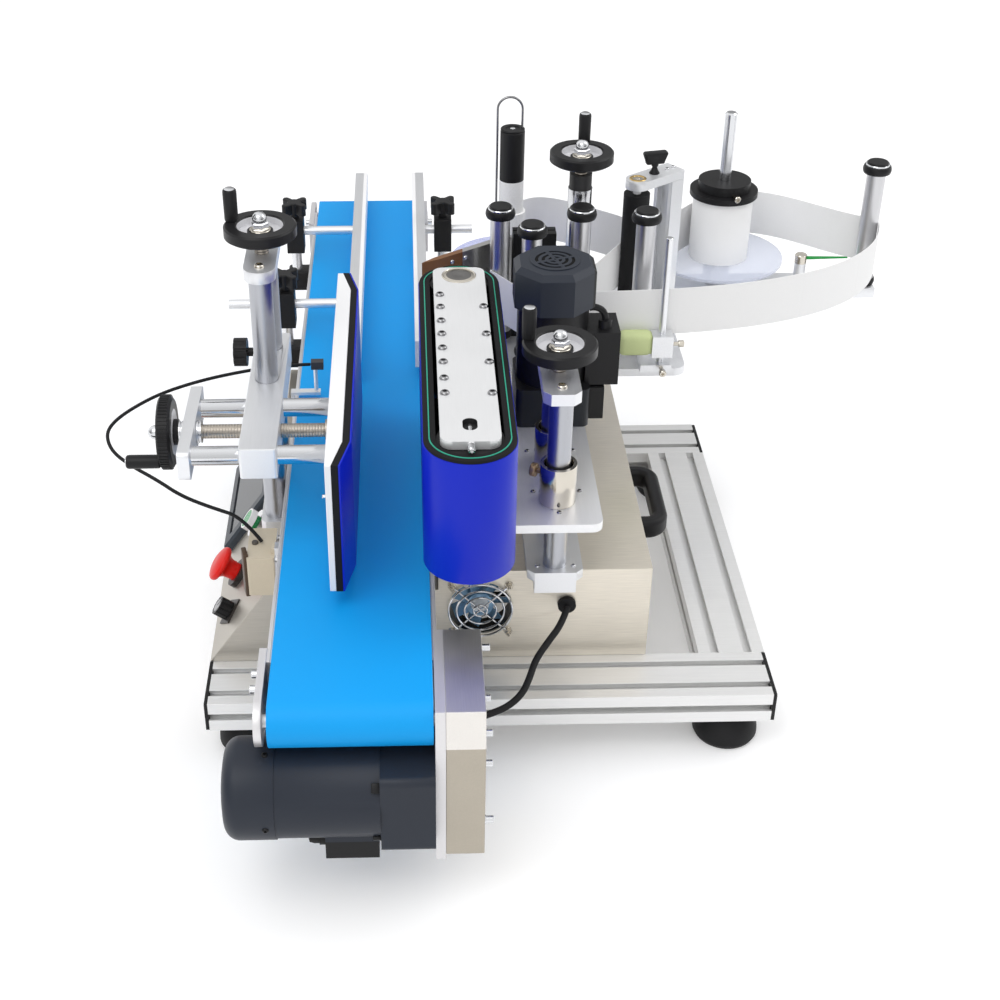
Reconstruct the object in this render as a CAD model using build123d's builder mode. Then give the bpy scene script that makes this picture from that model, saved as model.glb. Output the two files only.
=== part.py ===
from build123d import *
import math
import os

# Bench-top machine that wraps labels round bottles. Millimetres, +Z up.
# The origin is on the floor under the middle of the machine, +X points from the
# control panel to the label roll and +Y along the way that the bottles travel.

# Base frame of slotted beams on rubber feet
frame_left = -309.0
frame_front = -315.0
frame_width = 500.0
frame_depth = 465.0
beam_width = 60.0
beam_height = 30.0
beam_gap = 0.2
slot_mouth = 7.0
slot_lip = 2.5
slot_pocket = 13.0
slot_depth = 7.0
cap_thickness = 3.0
foot_radius = 29.0
foot_height = 33.0
foot_stud = 2.0
foot_inset = 36.0

# Housing of folded stainless sheet, with a sloping control panel on the left
housing_wall = 2.0
housing_height = 95.0
console_height = 76.0
console_run = 54.0
housing_right = 83.0
step_x = -104.0

# Conveyor
conveyor_x = -174.0
belt_width = 124.0
belt_thickness = 2.0
roller_radius = 18.0
drive_y = -464.0
tail_y = 484.0
rail_height = 52.0
rail_thickness = 3.0
rail_play = 1.0
rail_setback = 48.0
tail_setback = 26.0
belt_proud = 2.0
bed_thickness = 3.0
bed_clearance = 0.4
end_plate_thickness = 6.0
end_plate_length = 64.0
end_plate_radius = 19.0
shaft_radius = 6.0
run_clearance = 0.06
side_clearance = 0.4

# Conveyor drive
motor_drop = 67.0
motor_frame = 80.0
gearbox_frame = 73.0
gearbox_length = 42.0
motor_length = 80.0
fan_cover_length = 40.0
drive_plate_thickness = 8.0
cover_depth = 30.0
cover_wall = 1.5
cover_ahead = 23.0
cover_behind = 84.0
cover_top = 194.0
cover_below = 53.0
cover_slope = (7.0, 30.0)
plate_below = 5.0
pulley_radius = 12.5
pulley_width = 14.0
timing_belt = 1.6
timing_clearance = 0.3
terminal_box = (42.0, 40.0, 22.0)

# Lifts with two posts, a top bracket and a hand-wheel between the posts
post_radius = 10.0
post_spacing = 60.0
bracket_width = 31.0
bracket_height = 10.5
wheel_radius = 31.0
grip_reach = 43.2
wheel_rise = 10.0
screw_radius = 6.0
screw_clearance = 0.1
left_lift = (-250.7, -123.0)
left_top = 403.0
right_lift = (-3.5, -227.0)
right_top = 342.5
label_lift = (43.0, 87.0)
label_top = 388.0
label_posts = ((12.0, 90.0), (50.0, 122.0))
label_post_top = 290.0
label_sleeve_radius = 12.0
label_ring_height = 15.0
label_nut_height = 36.0
label_screw_hole = 8.0
screw_reserve = 46.0
lift_base_height = 9.0
base_lip = 17.0

# Pressing pad on the left
block_width = 31.0
block_length = 206.0
block_height = 28.0
block_top = 297.0
block_front = -273.0
rod_radius = 8.0
rod_spacing = 78.0
rod_setback = 16.5
end_plate_x = -306.0
yoke_thickness = 10.0
yoke_margin = 19.0
yoke_height = 26.0
pad_back = -192.0
pad_plate_thickness = 13.0
pad_foam_thickness = 7.0
pad_front = -352.0
pad_length = 341.0
pad_bottom = 212.0
pad_height = 118.0
pad_bevel = 36.0
pad_taper = 8.0
bush_clearance = 0.05

# Side belt carriage on the right
plate_top = 234.0
plate_thickness = 8.0
plate_left = -106.0
plate_right = 32.0
plate_near = -295.0
plate_far = -46.0
collar_radius = 15.5
collar_height = 37.0
collar_bore = 12.5
seat_gap = 0.2
side_belt_x = -81.2
side_near_y = -350.0
side_far_y = -81.0
side_belt_bottom = 240.0
side_belt_height = 113.0
side_belt_radius = 36.2
side_belt_thickness = 10.0
side_roller_clearance = 0.4
side_shaft_radius = 10.0
head_plate_width = 46.0
head_plate_thickness = 7.0
head_plate_overrun = 17.0
blind_depth = 2.4
tension_slot = (7.0, 11.4, 8.5)
side_motor = (2.0, -104.0)
side_motor_frame = 66.0
side_gearbox_height = 38.0
side_motor_height = 73.0
side_fan_height = 38.5
side_fan_width = 71.0
side_box = (26.0, 40.0, 52.0)
vent_rings = (6.0, 12.5, 19.0)
vent_width = 2.6
vent_depth = 3.0

# Guide rails along the conveyor and their clamps
guide_width = 14.0
guide_height = 29.0
guide_bottom = 208.0
guide_overrun = 14.0
left_guide_x = -182.0
left_guide_near = 15.0
right_guide_x = -113.5
right_guide_near = 28.0
guide_rod_radius = 5.0
clamp_size = (20.0, 22.0, 40.0)
clamp_post_radius = 6.0
left_clamp_x = -256.0
right_clamp_x = -86.0
left_clamps = (tail_y - 339.0, tail_y - 149.0)
right_clamps = (tail_y - 149.0,)
knob_radius = 15.0
knob_height = 13.0

# Label head
head_top = 230.0
head_thickness = 8.0
head_left = -52.0
head_right = 142.0
head_front = -22.0
head_back = 190.0
web_bottom = 261.0
web_height = 48.0
web_thickness = 0.6
cap_top = 371.0
cap_height = 8.0
cap_overhang = 3.5
tube_radius = 9.5
pin_radius = 4.0
pin_clearance = 0.06
roller_gap = 0.4
guide_rollers = {
    "guide_roller_a": (-37.4, 42.1),
    "guide_roller_b": (-10.0, -1.2),
    "guide_roller_c": (40.1, 38.0),
    "guide_roller_d": (101.1, 28.0),
}
last_roller_at = (351.0, 145.0)
feed_roller_at = (101.0, 100.0)
feed_roller_radius = 13.0
feed_roller_top = 361.0
stand_top = 376.0
stand_thickness = 9.0
stand_width = 24.0
stand_reach = 45.0
stand_turn = math.radians(37.0)
unwinder_at = (203.0, 175.0)
disc_radius = 68.0
disc_thickness = 3.0
core_radius = 31.0
core_height = 68.0
collar_flange = 35.0
spindle_radius = 6.2
spindle_top = 416.0
rewinder_at = (-19.0, 165.0)
rewind_disc_radius = 64.0
rewind_paper_radius = 15.0
rewind_drum_radius = 12.5
rewind_drum_top = 404.0
clip_top = 437.0
clip_wire = 1.2
arm_root = (285.0, 145.0)
eye_top = 340.0
brake_at = (116.0, -20.0)

# Panel, fan and small fittings
screen_near = -95.0
screen_length = 150.0
screen_height = 82.0
screen_depth = 8.0
button_at = (70.0, -125.0)
stop_at = (38.0, -166.0)
dial_at = (28.0, -213.0)
button_radius = 10.5
button_travel = 3.0
stop_radius = 16.0
stop_travel = 4.0
dial_radius = 9.0
button_bore = 7.5
stop_bore = 9.0
dial_bore = 4.5
control_play = 0.35
fan_at = (-67.0, 120.0)
fan_size = 60.0
fan_depth = 20.0
fan_bore = 28.0
guard_wire = 1.3
grommet_at = (9.1, 124.0)
grommet_radius = 8.0
handle_y = -85.0
handle_z = 118.0
handle_span = 90.0
handle_reach = 28.0
amplifier_box = (24.0, 46.0, 39.0)
amplifier_near = -264.0
amplifier_foot = 3.0

# Worked-out places
frame_top = foot_height + foot_stud + beam_height
frame_right = frame_left + frame_width
frame_back = frame_front + frame_depth
housing_front = frame_front + beam_width - 1.0
housing_top = frame_top + housing_height
console_top = frame_top + console_height
console_left = frame_left + console_run
rail_top = console_top + rail_height
belt_top = rail_top + belt_proud
roller_z = belt_top - belt_thickness - roller_radius
belt_radius = roller_radius + belt_thickness
belt_half = belt_width / 2
rail_inner = belt_half + rail_play
rail_outer = rail_inner + rail_thickness
motor_z = roller_z - motor_drop
cover_bottom = motor_z - cover_below
cover_front = drive_y - cover_ahead
cover_back = drive_y + cover_behind
rail_near = drive_y + rail_setback
rail_far = tail_y - tail_setback
drive_plate_x = conveyor_x + rail_inner
cover_x = drive_plate_x + drive_plate_thickness
guide_far = tail_y + guide_overrun
low = (Align.CENTER, Align.CENTER, Align.MIN)
os.makedirs("parts", exist_ok=True)


def write(builder, label):
    """Name a finished piece and keep it as its own file."""
    builder.part.label = label
    export_step(builder.part, f"parts/{label}.step")


def slab(x, y, z, mode=Mode.ADD):
    """A plain block between two corners, given as (low, high) pairs."""
    with Locations(((x[0] + x[1]) / 2, (y[0] + y[1]) / 2, (z[0] + z[1]) / 2)):
        Box(x[1] - x[0], y[1] - y[0], z[1] - z[0], mode=mode)


def rod_x(radius, x, y, z, mode=Mode.ADD):
    """A round bar along X between the two values of x."""
    with Locations(((x[0] + x[1]) / 2, y, z)):
        Cylinder(radius, x[1] - x[0], rotation=(0, 90, 0), mode=mode)


def rod_y(radius, x, y, z, mode=Mode.ADD):
    """A round bar along Y between the two values of y."""
    with Locations((x, (y[0] + y[1]) / 2, z)):
        Cylinder(radius, y[1] - y[0], rotation=(90, 0, 0), mode=mode)


def rod_z(radius, x, y, z, mode=Mode.ADD):
    """A round bar along Z between the two values of z."""
    with Locations((x, y, z[0])):
        Cylinder(radius, z[1] - z[0], align=low, mode=mode)


# Base frame

def beam_section():
    """Slotted section of a beam, wide way along the sketch's x."""
    Rectangle(beam_width, beam_height)
    pocket = slot_depth - slot_lip
    for turn, reach, places in (
        (0, beam_height / 2, (-beam_width / 4, beam_width / 4)),
        (90, beam_width / 2, (0,)),
    ):
        for side in (-1, 1):
            for place in places:
                mouth = side * (reach - slot_depth / 2)
                room = side * (reach - slot_lip - pocket / 2)
                for middle, wide, deep in ((mouth, slot_mouth, slot_depth), (room, slot_pocket, pocket)):
                    spot = (place, middle) if turn == 0 else (middle, place)
                    size = (wide, deep) if turn == 0 else (deep, wide)
                    with Locations(spot):
                        Rectangle(*size, mode=Mode.SUBTRACT)


beam_z = frame_top - beam_height / 2
front_beam_y = frame_front + beam_width / 2
rear_beam_y = frame_back - beam_width / 2
with BuildPart() as base_beams:
    for y in (front_beam_y, rear_beam_y):
        section = Plane((frame_left + cap_thickness, y, beam_z), x_dir=(0, 1, 0), z_dir=(1, 0, 0))
        with BuildSketch(section):
            beam_section()
        extrude(amount=frame_width - 2 * cap_thickness)
    for x in (frame_left + beam_width / 2, frame_right - beam_width / 2):
        start = frame_front + beam_width + beam_gap
        section = Plane((x, start, beam_z), x_dir=(1, 0, 0), z_dir=(0, 1, 0))
        with BuildSketch(section):
            beam_section()
        extrude(amount=frame_depth - 2 * beam_width - 2 * beam_gap)
write(base_beams, "base_beams")

with BuildPart() as beam_end_caps:
    for y in (front_beam_y, rear_beam_y):
        for x in (frame_left, frame_right - cap_thickness):
            with BuildSketch(Plane((x, y, beam_z), x_dir=(0, 1, 0), z_dir=(1, 0, 0))):
                RectangleRounded(beam_width, beam_height, 2)
            extrude(amount=cap_thickness)
write(beam_end_caps, "beam_end_caps")

foot_spots = [
    (x, y)
    for x in (frame_left + foot_inset, frame_right - foot_inset)
    for y in (front_beam_y, rear_beam_y)
]
with BuildPart() as rubber_feet:
    for x, y in foot_spots:
        with BuildSketch(Plane((x, y, 0), x_dir=(1, 0, 0), z_dir=(0, -1, 0))):
            with BuildLine():
                Line((0, 0), (foot_radius - 2, 0))
                Line((foot_radius - 2, 0), (foot_radius, 4))
                ThreePointArc((foot_radius, 4), (foot_radius - 5, 22), (12, foot_height))
                Line((12, foot_height), (6, foot_height))
                Line((6, foot_height), (6, foot_height + foot_stud))
                Line((6, foot_height + foot_stud), (0, foot_height + foot_stud))
                Line((0, foot_height + foot_stud), (0, 0))
            make_face()
        revolve(axis=Axis((x, y, 0), (0, 0, 1)))
write(rubber_feet, "rubber_feet")

# Housing

slope_length = math.hypot(console_run, console_height)
slope_up = (console_run / slope_length, 0, console_height / slope_length)
slope_out = (-console_height / slope_length, 0, console_run / slope_length)


def on_panel(up, y, out=0.0):
    """The plane at a place on the sloping panel: local x along Y, local y up the slope."""
    place = (
        frame_left + up * slope_up[0] + out * slope_out[0],
        y,
        frame_top + up * slope_up[2] + out * slope_out[2],
    )
    return Plane(place, x_dir=(0, -1, 0), z_dir=slope_out)


housing_outline = [
    (frame_left, frame_top),
    (console_left, console_top),
    (step_x, console_top),
    (step_x, housing_top),
    (housing_right, housing_top),
    (housing_right, frame_top),
]
with BuildPart() as housing:
    with BuildSketch(Plane.XZ.offset(-frame_back)):
        with BuildLine():
            Polyline(*housing_outline, close=True)
        make_face()
    extrude(amount=frame_back - housing_front)
    with BuildSketch(Plane.XZ.offset(-frame_back + housing_wall)):
        with BuildLine():
            Polyline(*housing_outline, close=True)
        make_face()
        offset(amount=-housing_wall, kind=Kind.INTERSECTION)
        with Locations(((console_left + housing_right) / 2, frame_top + housing_wall)):
            Rectangle(housing_right - console_left - 2 * housing_wall, 4 * housing_wall)
    extrude(amount=frame_back - housing_front - 2 * housing_wall, mode=Mode.SUBTRACT)
    wall_y = (housing_front - 1, housing_front + housing_wall + 1)
    rod_y(fan_bore, fan_at[0], wall_y, fan_at[1], Mode.SUBTRACT)
    rod_y(grommet_radius - 2 + bush_clearance, grommet_at[0], wall_y, grommet_at[1], Mode.SUBTRACT)
    for spot, hole in ((button_at, button_bore), (stop_at, stop_bore), (dial_at, dial_bore)):
        with BuildSketch(on_panel(*spot, -2 * housing_wall)):
            Circle(hole)
        extrude(amount=4 * housing_wall, mode=Mode.SUBTRACT)
    rod_z(label_screw_hole, *label_lift, (housing_top - 2 * housing_wall, housing_top + 1), Mode.SUBTRACT)
write(housing, "housing")

# Control panel on the slope

screen_up = slope_length / 2
with BuildPart() as screen_bezel:
    with BuildSketch(on_panel(screen_up, screen_near + screen_length / 2)):
        RectangleRounded(screen_length, screen_height, 4)
    extrude(amount=screen_depth)
    chamfer(screen_bezel.faces().sort_by(Axis(on_panel(0, 0).origin, slope_out))[-1].edges(), 2.5)
    with BuildSketch(on_panel(screen_up, screen_near + screen_length / 2, screen_depth - 1.2)):
        RectangleRounded(screen_length - 26, screen_height - 22, 2)
    extrude(amount=2, mode=Mode.SUBTRACT)
write(screen_bezel, "screen_bezel")

button_collar = 7.0
stop_collar = 5.0
with BuildPart() as control_collars:
    with BuildSketch(on_panel(*button_at)):
        Circle(button_radius + 3.5)
        Circle(button_bore, mode=Mode.SUBTRACT)
    extrude(amount=button_collar)
    with BuildSketch(on_panel(*stop_at)):
        Circle(14)
        Circle(stop_bore, mode=Mode.SUBTRACT)
    extrude(amount=stop_collar)
    with BuildSketch(on_panel(*dial_at)):
        Rectangle(24, 24, rotation=45)
        Circle(dial_bore, mode=Mode.SUBTRACT)
    extrude(amount=1.5)
write(control_collars, "control_collars")

button_lift = button_collar + button_travel + 2
with BuildPart() as start_button:
    with BuildSketch(on_panel(*button_at, 0.5)):
        Circle(button_bore - control_play)
    extrude(amount=button_lift)
    with BuildSketch(on_panel(*button_at, button_collar + button_travel + 0.5)):
        Circle(button_radius)
    extrude(amount=6)
write(start_button, "start_button")

with BuildPart() as stop_button:
    with BuildSketch(on_panel(*stop_at, 0.5)):
        Circle(stop_bore - control_play)
    extrude(amount=stop_collar + stop_travel + 4)
    head_plane = on_panel(*stop_at, stop_collar + stop_travel + 0.5)
    side_plane = Plane(head_plane.origin, x_dir=(0, 1, 0), z_dir=Vector(0, 1, 0).cross(Vector(*slope_out)))
    with BuildSketch(side_plane):
        with BuildLine():
            Line((0, 0), (9, 0))
            ThreePointArc((9, 0), (10.5, 6.5), (stop_radius, 10))
            ThreePointArc((stop_radius, 10), (stop_radius + 0.8, 13), (stop_radius - 1.5, 15.5))
            ThreePointArc((stop_radius - 1.5, 15.5), (stop_radius / 2, 17.6), (4, 18))
            Line((4, 18), (0, 18))
            Line((0, 18), (0, 0))
        make_face()
    revolve(axis=Axis(head_plane.origin, slope_out))
write(stop_button, "stop_button")

with BuildPart() as speed_dial:
    with BuildSketch(on_panel(*dial_at, 0.5)):
        Circle(dial_bore - control_play)
    extrude(amount=4)
    with BuildSketch(on_panel(*dial_at, 2.0)):
        Circle(dial_radius)
        with PolarLocations(dial_radius, 12):
            Circle(0.8, mode=Mode.SUBTRACT)
    extrude(amount=12)
    with BuildSketch(on_panel(*dial_at, 13.2)):
        with Locations((0, dial_radius / 2)):
            Rectangle(1.4, dial_radius)
    extrude(amount=1, mode=Mode.SUBTRACT)
write(speed_dial, "speed_dial")

# Photo sensor: an amplifier on the conveyor's side and its head beside the belt

left_rail_face = conveyor_x - rail_outer
amplifier_right = left_rail_face - 4.0
amplifier_bottom = console_top + amplifier_foot
head_at = (-214.0, -8.0, 232.0)
with BuildPart() as photo_sensor:
    amplifier_x = (amplifier_right - amplifier_box[0], amplifier_right)
    amplifier_y = (amplifier_near, amplifier_near + amplifier_box[1])
    with BuildSketch(Plane((0, 0, amplifier_bottom))):
        with Locations((sum(amplifier_x) / 2, sum(amplifier_y) / 2)):
            RectangleRounded(amplifier_box[0], amplifier_box[1], 2)
    extrude(amount=amplifier_box[2])
    slab((amplifier_right - 3, left_rail_face), (amplifier_near + 6, amplifier_near + 16),
         (amplifier_bottom + 4, rail_top - 4))
    slab((head_at[0] - 8, head_at[0] + 4), (head_at[1] - 4, head_at[1] + 4), (head_at[2] - 4, head_at[2] + 4))
    rod_z(2, head_at[0] - 4, head_at[1], (belt_top + 7, head_at[2] - 3))
    head_y = (head_at[1] - 4, head_at[1] + 4)
    slab((left_rail_face - 3, head_at[0]), head_y, (belt_top + 5, belt_top + 8))
    slab((left_rail_face - 3, left_rail_face), head_y, (rail_top - 22, belt_top + 8))
write(photo_sensor, "photo_sensor")

# Cooling fan in the front wall

fan_back = housing_front + housing_wall
with BuildPart() as fan_frame:
    with BuildSketch(Plane.XZ.offset(-fan_back - fan_depth)):
        with Locations(fan_at):
            RectangleRounded(fan_size, fan_size, 4)
            Circle(fan_bore, mode=Mode.SUBTRACT)
    extrude(amount=fan_depth)
    with BuildSketch(Plane.XZ.offset(-fan_back - fan_depth)):
        with Locations(fan_at):
            Circle(11)
            Rectangle(2 * fan_bore + 4, 4, rotation=35)
            Rectangle(2 * fan_bore + 4, 4, rotation=-35)
    extrude(amount=3)
    guard_y = housing_front - 2.0
    with BuildSketch(Plane.XZ.offset(-guard_y)):
        with Locations(fan_at):
            for ring in (fan_bore - 1, fan_bore - 9, fan_bore - 17):
                Circle(ring + guard_wire)
                Circle(ring - guard_wire, mode=Mode.SUBTRACT)
            Circle(5)
    extrude(amount=2 * guard_wire)
    with BuildSketch(Plane.XZ.offset(-housing_front)):
        with Locations(fan_at):
            for turn in (45, 135):
                Rectangle(2 * fan_bore + 14, 2 * guard_wire, rotation=turn)
    extrude(amount=2.6)
write(fan_frame, "fan_frame")

blade_count = 7
with BuildPart() as fan_rotor:
    rotor_back = fan_back + fan_depth - 3 - side_clearance
    rotor_front = fan_back + 3
    rod_y(12, fan_at[0], (rotor_front, rotor_back), fan_at[1])
    blade = Plane((fan_at[0], (rotor_front + rotor_back) / 2, fan_at[1]), x_dir=(1, 0, 0), z_dir=(0, -1, 0))
    with Locations(blade):
        with PolarLocations(0, blade_count):
            with Locations(Location((18.5, 0, 0), (35, 0, 0))):
                Box(15, 13, 1.4)
write(fan_rotor, "fan_rotor")

with BuildPart() as cable_grommet:
    lip = housing_front - 4
    rod_y(grommet_radius - 2, grommet_at[0], (lip, housing_front + housing_wall + 2), grommet_at[1])
    rod_y(grommet_radius, grommet_at[0], (lip, housing_front), grommet_at[1])
write(cable_grommet, "cable_grommet")

with BuildPart() as pull_handle:
    half = handle_span / 2
    with BuildLine(Plane((housing_right, handle_y, handle_z), x_dir=(0, 1, 0), z_dir=(0, 0, 1))):
        FilletPolyline((-half, 0), (-half, -handle_reach), (half, -handle_reach), (half, 0), radius=14)
    with BuildSketch(Plane((housing_right, handle_y - half, handle_z), x_dir=(0, 1, 0), z_dir=(1, 0, 0))):
        RectangleRounded(14, 20, 5)
    sweep()
    for end in (-half, half):
        slab((housing_right, housing_right + 5), (handle_y + end - 12, handle_y + end + 12),
             (handle_z - 14, handle_z + 14))
write(pull_handle, "pull_handle")

# Conveyor


def drive_outline(bottom):
    """Side view of the drive's plate and cover, with the sloped front corner."""
    back, rise = cover_slope
    return [
        (cover_back, bottom), (cover_front, bottom), (cover_front, cover_top - rise),
        (cover_front + back, cover_top), (cover_back, cover_top),
    ]


with BuildPart() as conveyor_frame:
    for side in (-1, 1):
        inner = conveyor_x + side * rail_inner
        outer = conveyor_x + side * rail_outer
        slab(sorted((inner, outer)), (rail_near, rail_far), (console_top, rail_top))
        for axis_y, way in ((drive_y, 1), (tail_y, -1)):
            if side == 1 and axis_y == drive_y:
                continue
            place = Plane((outer, axis_y, roller_z), x_dir=(0, way, 0), z_dir=(side, 0, 0))
            with BuildSketch(place):
                Circle(end_plate_radius)
                with Locations((end_plate_length / 2, 0)):
                    Rectangle(end_plate_length, 2 * end_plate_radius)
                Circle(shaft_radius + run_clearance, mode=Mode.SUBTRACT)
            extrude(amount=end_plate_thickness)
    bed_top = belt_top - belt_thickness - bed_clearance
    slab((conveyor_x - rail_inner, conveyor_x + rail_inner), (rail_near, rail_far - 12),
         (bed_top - bed_thickness, bed_top))
    with BuildSketch(Plane.YZ.offset(drive_plate_x)):
        with BuildLine():
            Polyline(*drive_outline(cover_bottom - plate_below), close=True)
        make_face()
        with Locations((drive_y, roller_z), (drive_y, motor_z)):
            Circle(shaft_radius + run_clearance, mode=Mode.SUBTRACT)
    extrude(amount=drive_plate_thickness)
write(conveyor_frame, "conveyor_frame")

with BuildPart() as conveyor_belt:
    length = tail_y - drive_y
    middle = (conveyor_x - belt_half, (tail_y + drive_y) / 2, roller_z)
    with BuildSketch(Plane(middle, x_dir=(0, 1, 0), z_dir=(1, 0, 0))):
        SlotCenterToCenter(length, 2 * belt_radius)
        SlotCenterToCenter(length, 2 * (roller_radius + 0.3), mode=Mode.SUBTRACT)
    extrude(amount=belt_width)
write(conveyor_belt, "conveyor_belt")


def conveyor_roller(axis_y, right_reach):
    """A belt roller on its shaft, which ends right_reach past the roller's right face."""
    with BuildPart() as roller:
        rod_x(roller_radius, (conveyor_x - belt_half, conveyor_x + belt_half), axis_y, roller_z)
        left = conveyor_x - rail_outer - end_plate_thickness - 1
        rod_x(shaft_radius, (left, conveyor_x + belt_half + right_reach), axis_y, roller_z)
    return roller


pulley_x = cover_x + 3
drive_roller = conveyor_roller(drive_y, pulley_x + pulley_width - conveyor_x - belt_half)
with drive_roller:
    rod_x(pulley_radius, (pulley_x, pulley_x + pulley_width), drive_y, roller_z)
write(drive_roller, "drive_roller")
tail_roller = conveyor_roller(tail_y, rail_outer + end_plate_thickness + 1 - belt_half)
write(tail_roller, "tail_roller")

with BuildPart() as motor_pulley:
    rod_x(shaft_radius, (drive_plate_x - gearbox_length / 2, pulley_x + pulley_width), drive_y, motor_z)
    rod_x(pulley_radius, (pulley_x, pulley_x + pulley_width), drive_y, motor_z)
write(motor_pulley, "motor_pulley")

with BuildPart() as timing_loop:
    spot = Plane((pulley_x + 1, drive_y, (roller_z + motor_z) / 2), x_dir=(0, 0, 1), z_dir=(1, 0, 0))
    inside = pulley_radius + timing_clearance
    with BuildSketch(spot):
        SlotCenterToCenter(motor_drop, 2 * (inside + timing_belt))
        SlotCenterToCenter(motor_drop, 2 * inside, mode=Mode.SUBTRACT)
    extrude(amount=pulley_width - 2)
write(timing_loop, "timing_belt")

with BuildPart() as drive_cover:
    with BuildSketch(Plane.YZ.offset(cover_x)):
        with BuildLine():
            Polyline(*drive_outline(cover_bottom), close=True)
        make_face()
    extrude(amount=cover_depth)
    with BuildSketch(Plane.YZ.offset(cover_x)):
        with BuildLine():
            Polyline(*drive_outline(cover_bottom), close=True)
        make_face()
        offset(amount=-cover_wall, kind=Kind.INTERSECTION)
    extrude(amount=cover_depth - cover_wall, mode=Mode.SUBTRACT)
write(drive_cover, "drive_cover")

with BuildPart() as conveyor_motor:
    half = motor_frame / 2
    face = drive_plate_x
    with BuildSketch(Plane((face, drive_y, motor_z), x_dir=(0, 1, 0), z_dir=(-1, 0, 0))):
        RectangleRounded(gearbox_frame, gearbox_frame, 6)
        Circle(shaft_radius + run_clearance, mode=Mode.SUBTRACT)
    extrude(amount=gearbox_length)
    body_left = face - gearbox_length - motor_length
    rod_x(half - 1, (body_left, face - gearbox_length), drive_y, motor_z)
    rod_x(half, (body_left - fan_cover_length, body_left), drive_y, motor_z)
    fillet(conveyor_motor.faces().sort_by(Axis.X)[0].edges(), 12)
    box_x = face - gearbox_length - terminal_box[0] / 2 - 2
    slab((box_x - terminal_box[0] / 2, box_x + terminal_box[0] / 2),
         (drive_y - terminal_box[1] / 2, drive_y + terminal_box[1] / 2),
         (motor_z - half - terminal_box[2] + 4, motor_z - half + 8))
write(conveyor_motor, "conveyor_motor")

# Lifts

def lift_spots(lift):
    """The two post places of a lift, one behind the other."""
    half = post_spacing / 2
    return [(lift[0], lift[1] - half), (lift[0], lift[1] + half)]


left_base_top = console_top + lift_base_height + 6
right_base_top = housing_top + lift_base_height
label_base_top = housing_top + lift_base_height
lifts = ((left_lift, left_base_top, left_top), (right_lift, right_base_top, right_top))
with BuildPart() as lift_posts:
    for lift, bottom, top in lifts:
        for x, y in lift_spots(lift):
            rod_z(post_radius, x, y, (bottom, top - bracket_height))
    for x, y in label_posts:
        rod_z(post_radius, x, y, (label_base_top, label_post_top))
write(lift_posts, "lift_posts")

with BuildPart() as lift_brackets:
    for lift, bottom, top in lifts:
        with BuildSketch(Plane((lift[0], lift[1], top - bracket_height))):
            if lift is left_lift:
                SlotCenterToCenter(post_spacing, bracket_width - 4, rotation=90)
            else:
                Rectangle(bracket_width, post_spacing + bracket_width - 5)
                chamfer(vertices(), 6)
            Circle(screw_radius + screw_clearance, mode=Mode.SUBTRACT)
        extrude(amount=bracket_height)
    with BuildSketch(Plane((right_lift[0], right_lift[1], housing_top))):
        Rectangle(48, post_spacing + bracket_width)
        chamfer(vertices(), 6)
    extrude(amount=lift_base_height)
    lip_back = housing_front - side_clearance
    slab((right_lift[0] - 18, right_lift[0] + 18),
         (right_lift[1] - (post_spacing + bracket_width) / 2, lip_back),
         (right_base_top - 21, right_base_top))
    with BuildSketch(Plane((label_lift[0] - 10, label_lift[1] + 17, housing_top))):
        Rectangle(90, 72)
        chamfer(vertices(), 6)
    extrude(amount=lift_base_height)
    nut_top = label_base_top + label_nut_height
    rod_z(label_sleeve_radius, *label_lift, (label_base_top, nut_top))
    rod_z(screw_radius + screw_clearance, *label_lift, (housing_top - 1, nut_top + 1), Mode.SUBTRACT)
    with BuildSketch(Plane((left_lift[0] - 1.5, left_lift[1], console_top))):
        Rectangle(23, post_spacing + bracket_width)
        chamfer(vertices(), 4)
    extrude(amount=lift_base_height + 6)
write(lift_brackets, "lift_brackets")


def hand_wheel(origin, axis, side, screw_length, grip_angle):
    """A hand-wheel with its turned grip and the screw behind it.

    The wheel's hub starts at origin and axis points out to the user. The screw runs the other way.
    """
    out = Vector(*axis)
    across = Vector(*side)
    base = Vector(*origin)
    grip_way = across.rotate(Axis((0, 0, 0), axis), grip_angle)
    with BuildPart() as wheel:
        with BuildSketch(Plane(base, x_dir=across, z_dir=across.cross(out))):
            with BuildLine():
                Polyline(
                    (0, -screw_length), (screw_radius, -screw_length), (screw_radius, 0), (11, 0), (11, 4),
                    (wheel_radius - 3, 4), (wheel_radius, 6), (wheel_radius, 14), (wheel_radius - 1.5, 15.5),
                    (21, 15.5), (19.5, 14), (19.5, 8), (11, 8), (11, 10), (6, 10), (6, 19), (4, 22.5),
                    (0, 24), close=True,
                )
            make_face()
        revolve(axis=Axis(base, axis))
        grip = base + grip_way * (wheel_radius - 5)
        with BuildSketch(Plane(grip, x_dir=grip_way, z_dir=grip_way.cross(out))):
            with BuildLine():
                Polyline(
                    (0, 13), (3, 13), (3, 18), (4.5, 19), (5, 26), (5.8, 38), (5.8, 42), (5, grip_reach),
                    (0, grip_reach), close=True,
                )
            make_face()
        revolve(axis=Axis(grip, axis))
    return wheel


left_hub = left_top + wheel_rise
left_screw = left_hub - (block_top - block_height - screw_reserve)
left_wheel = hand_wheel((*left_lift, left_hub), (0, 0, 1), (1, 0, 0), left_screw, 160)
write(left_wheel, "left_hand_wheel")
right_hub = right_top + wheel_rise
right_screw = right_hub - (plate_top - plate_thickness - screw_reserve)
right_wheel = hand_wheel((*right_lift, right_hub), (0, 0, 1), (1, 0, 0), right_screw, 165)
write(right_wheel, "right_hand_wheel")
label_hub = label_top + wheel_rise - 3
label_wheel = hand_wheel((*label_lift, label_hub), (0, 0, 1), (1, 0, 0), label_hub - housing_top, 80)
write(label_wheel, "label_hand_wheel")

# Pressing pad

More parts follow.
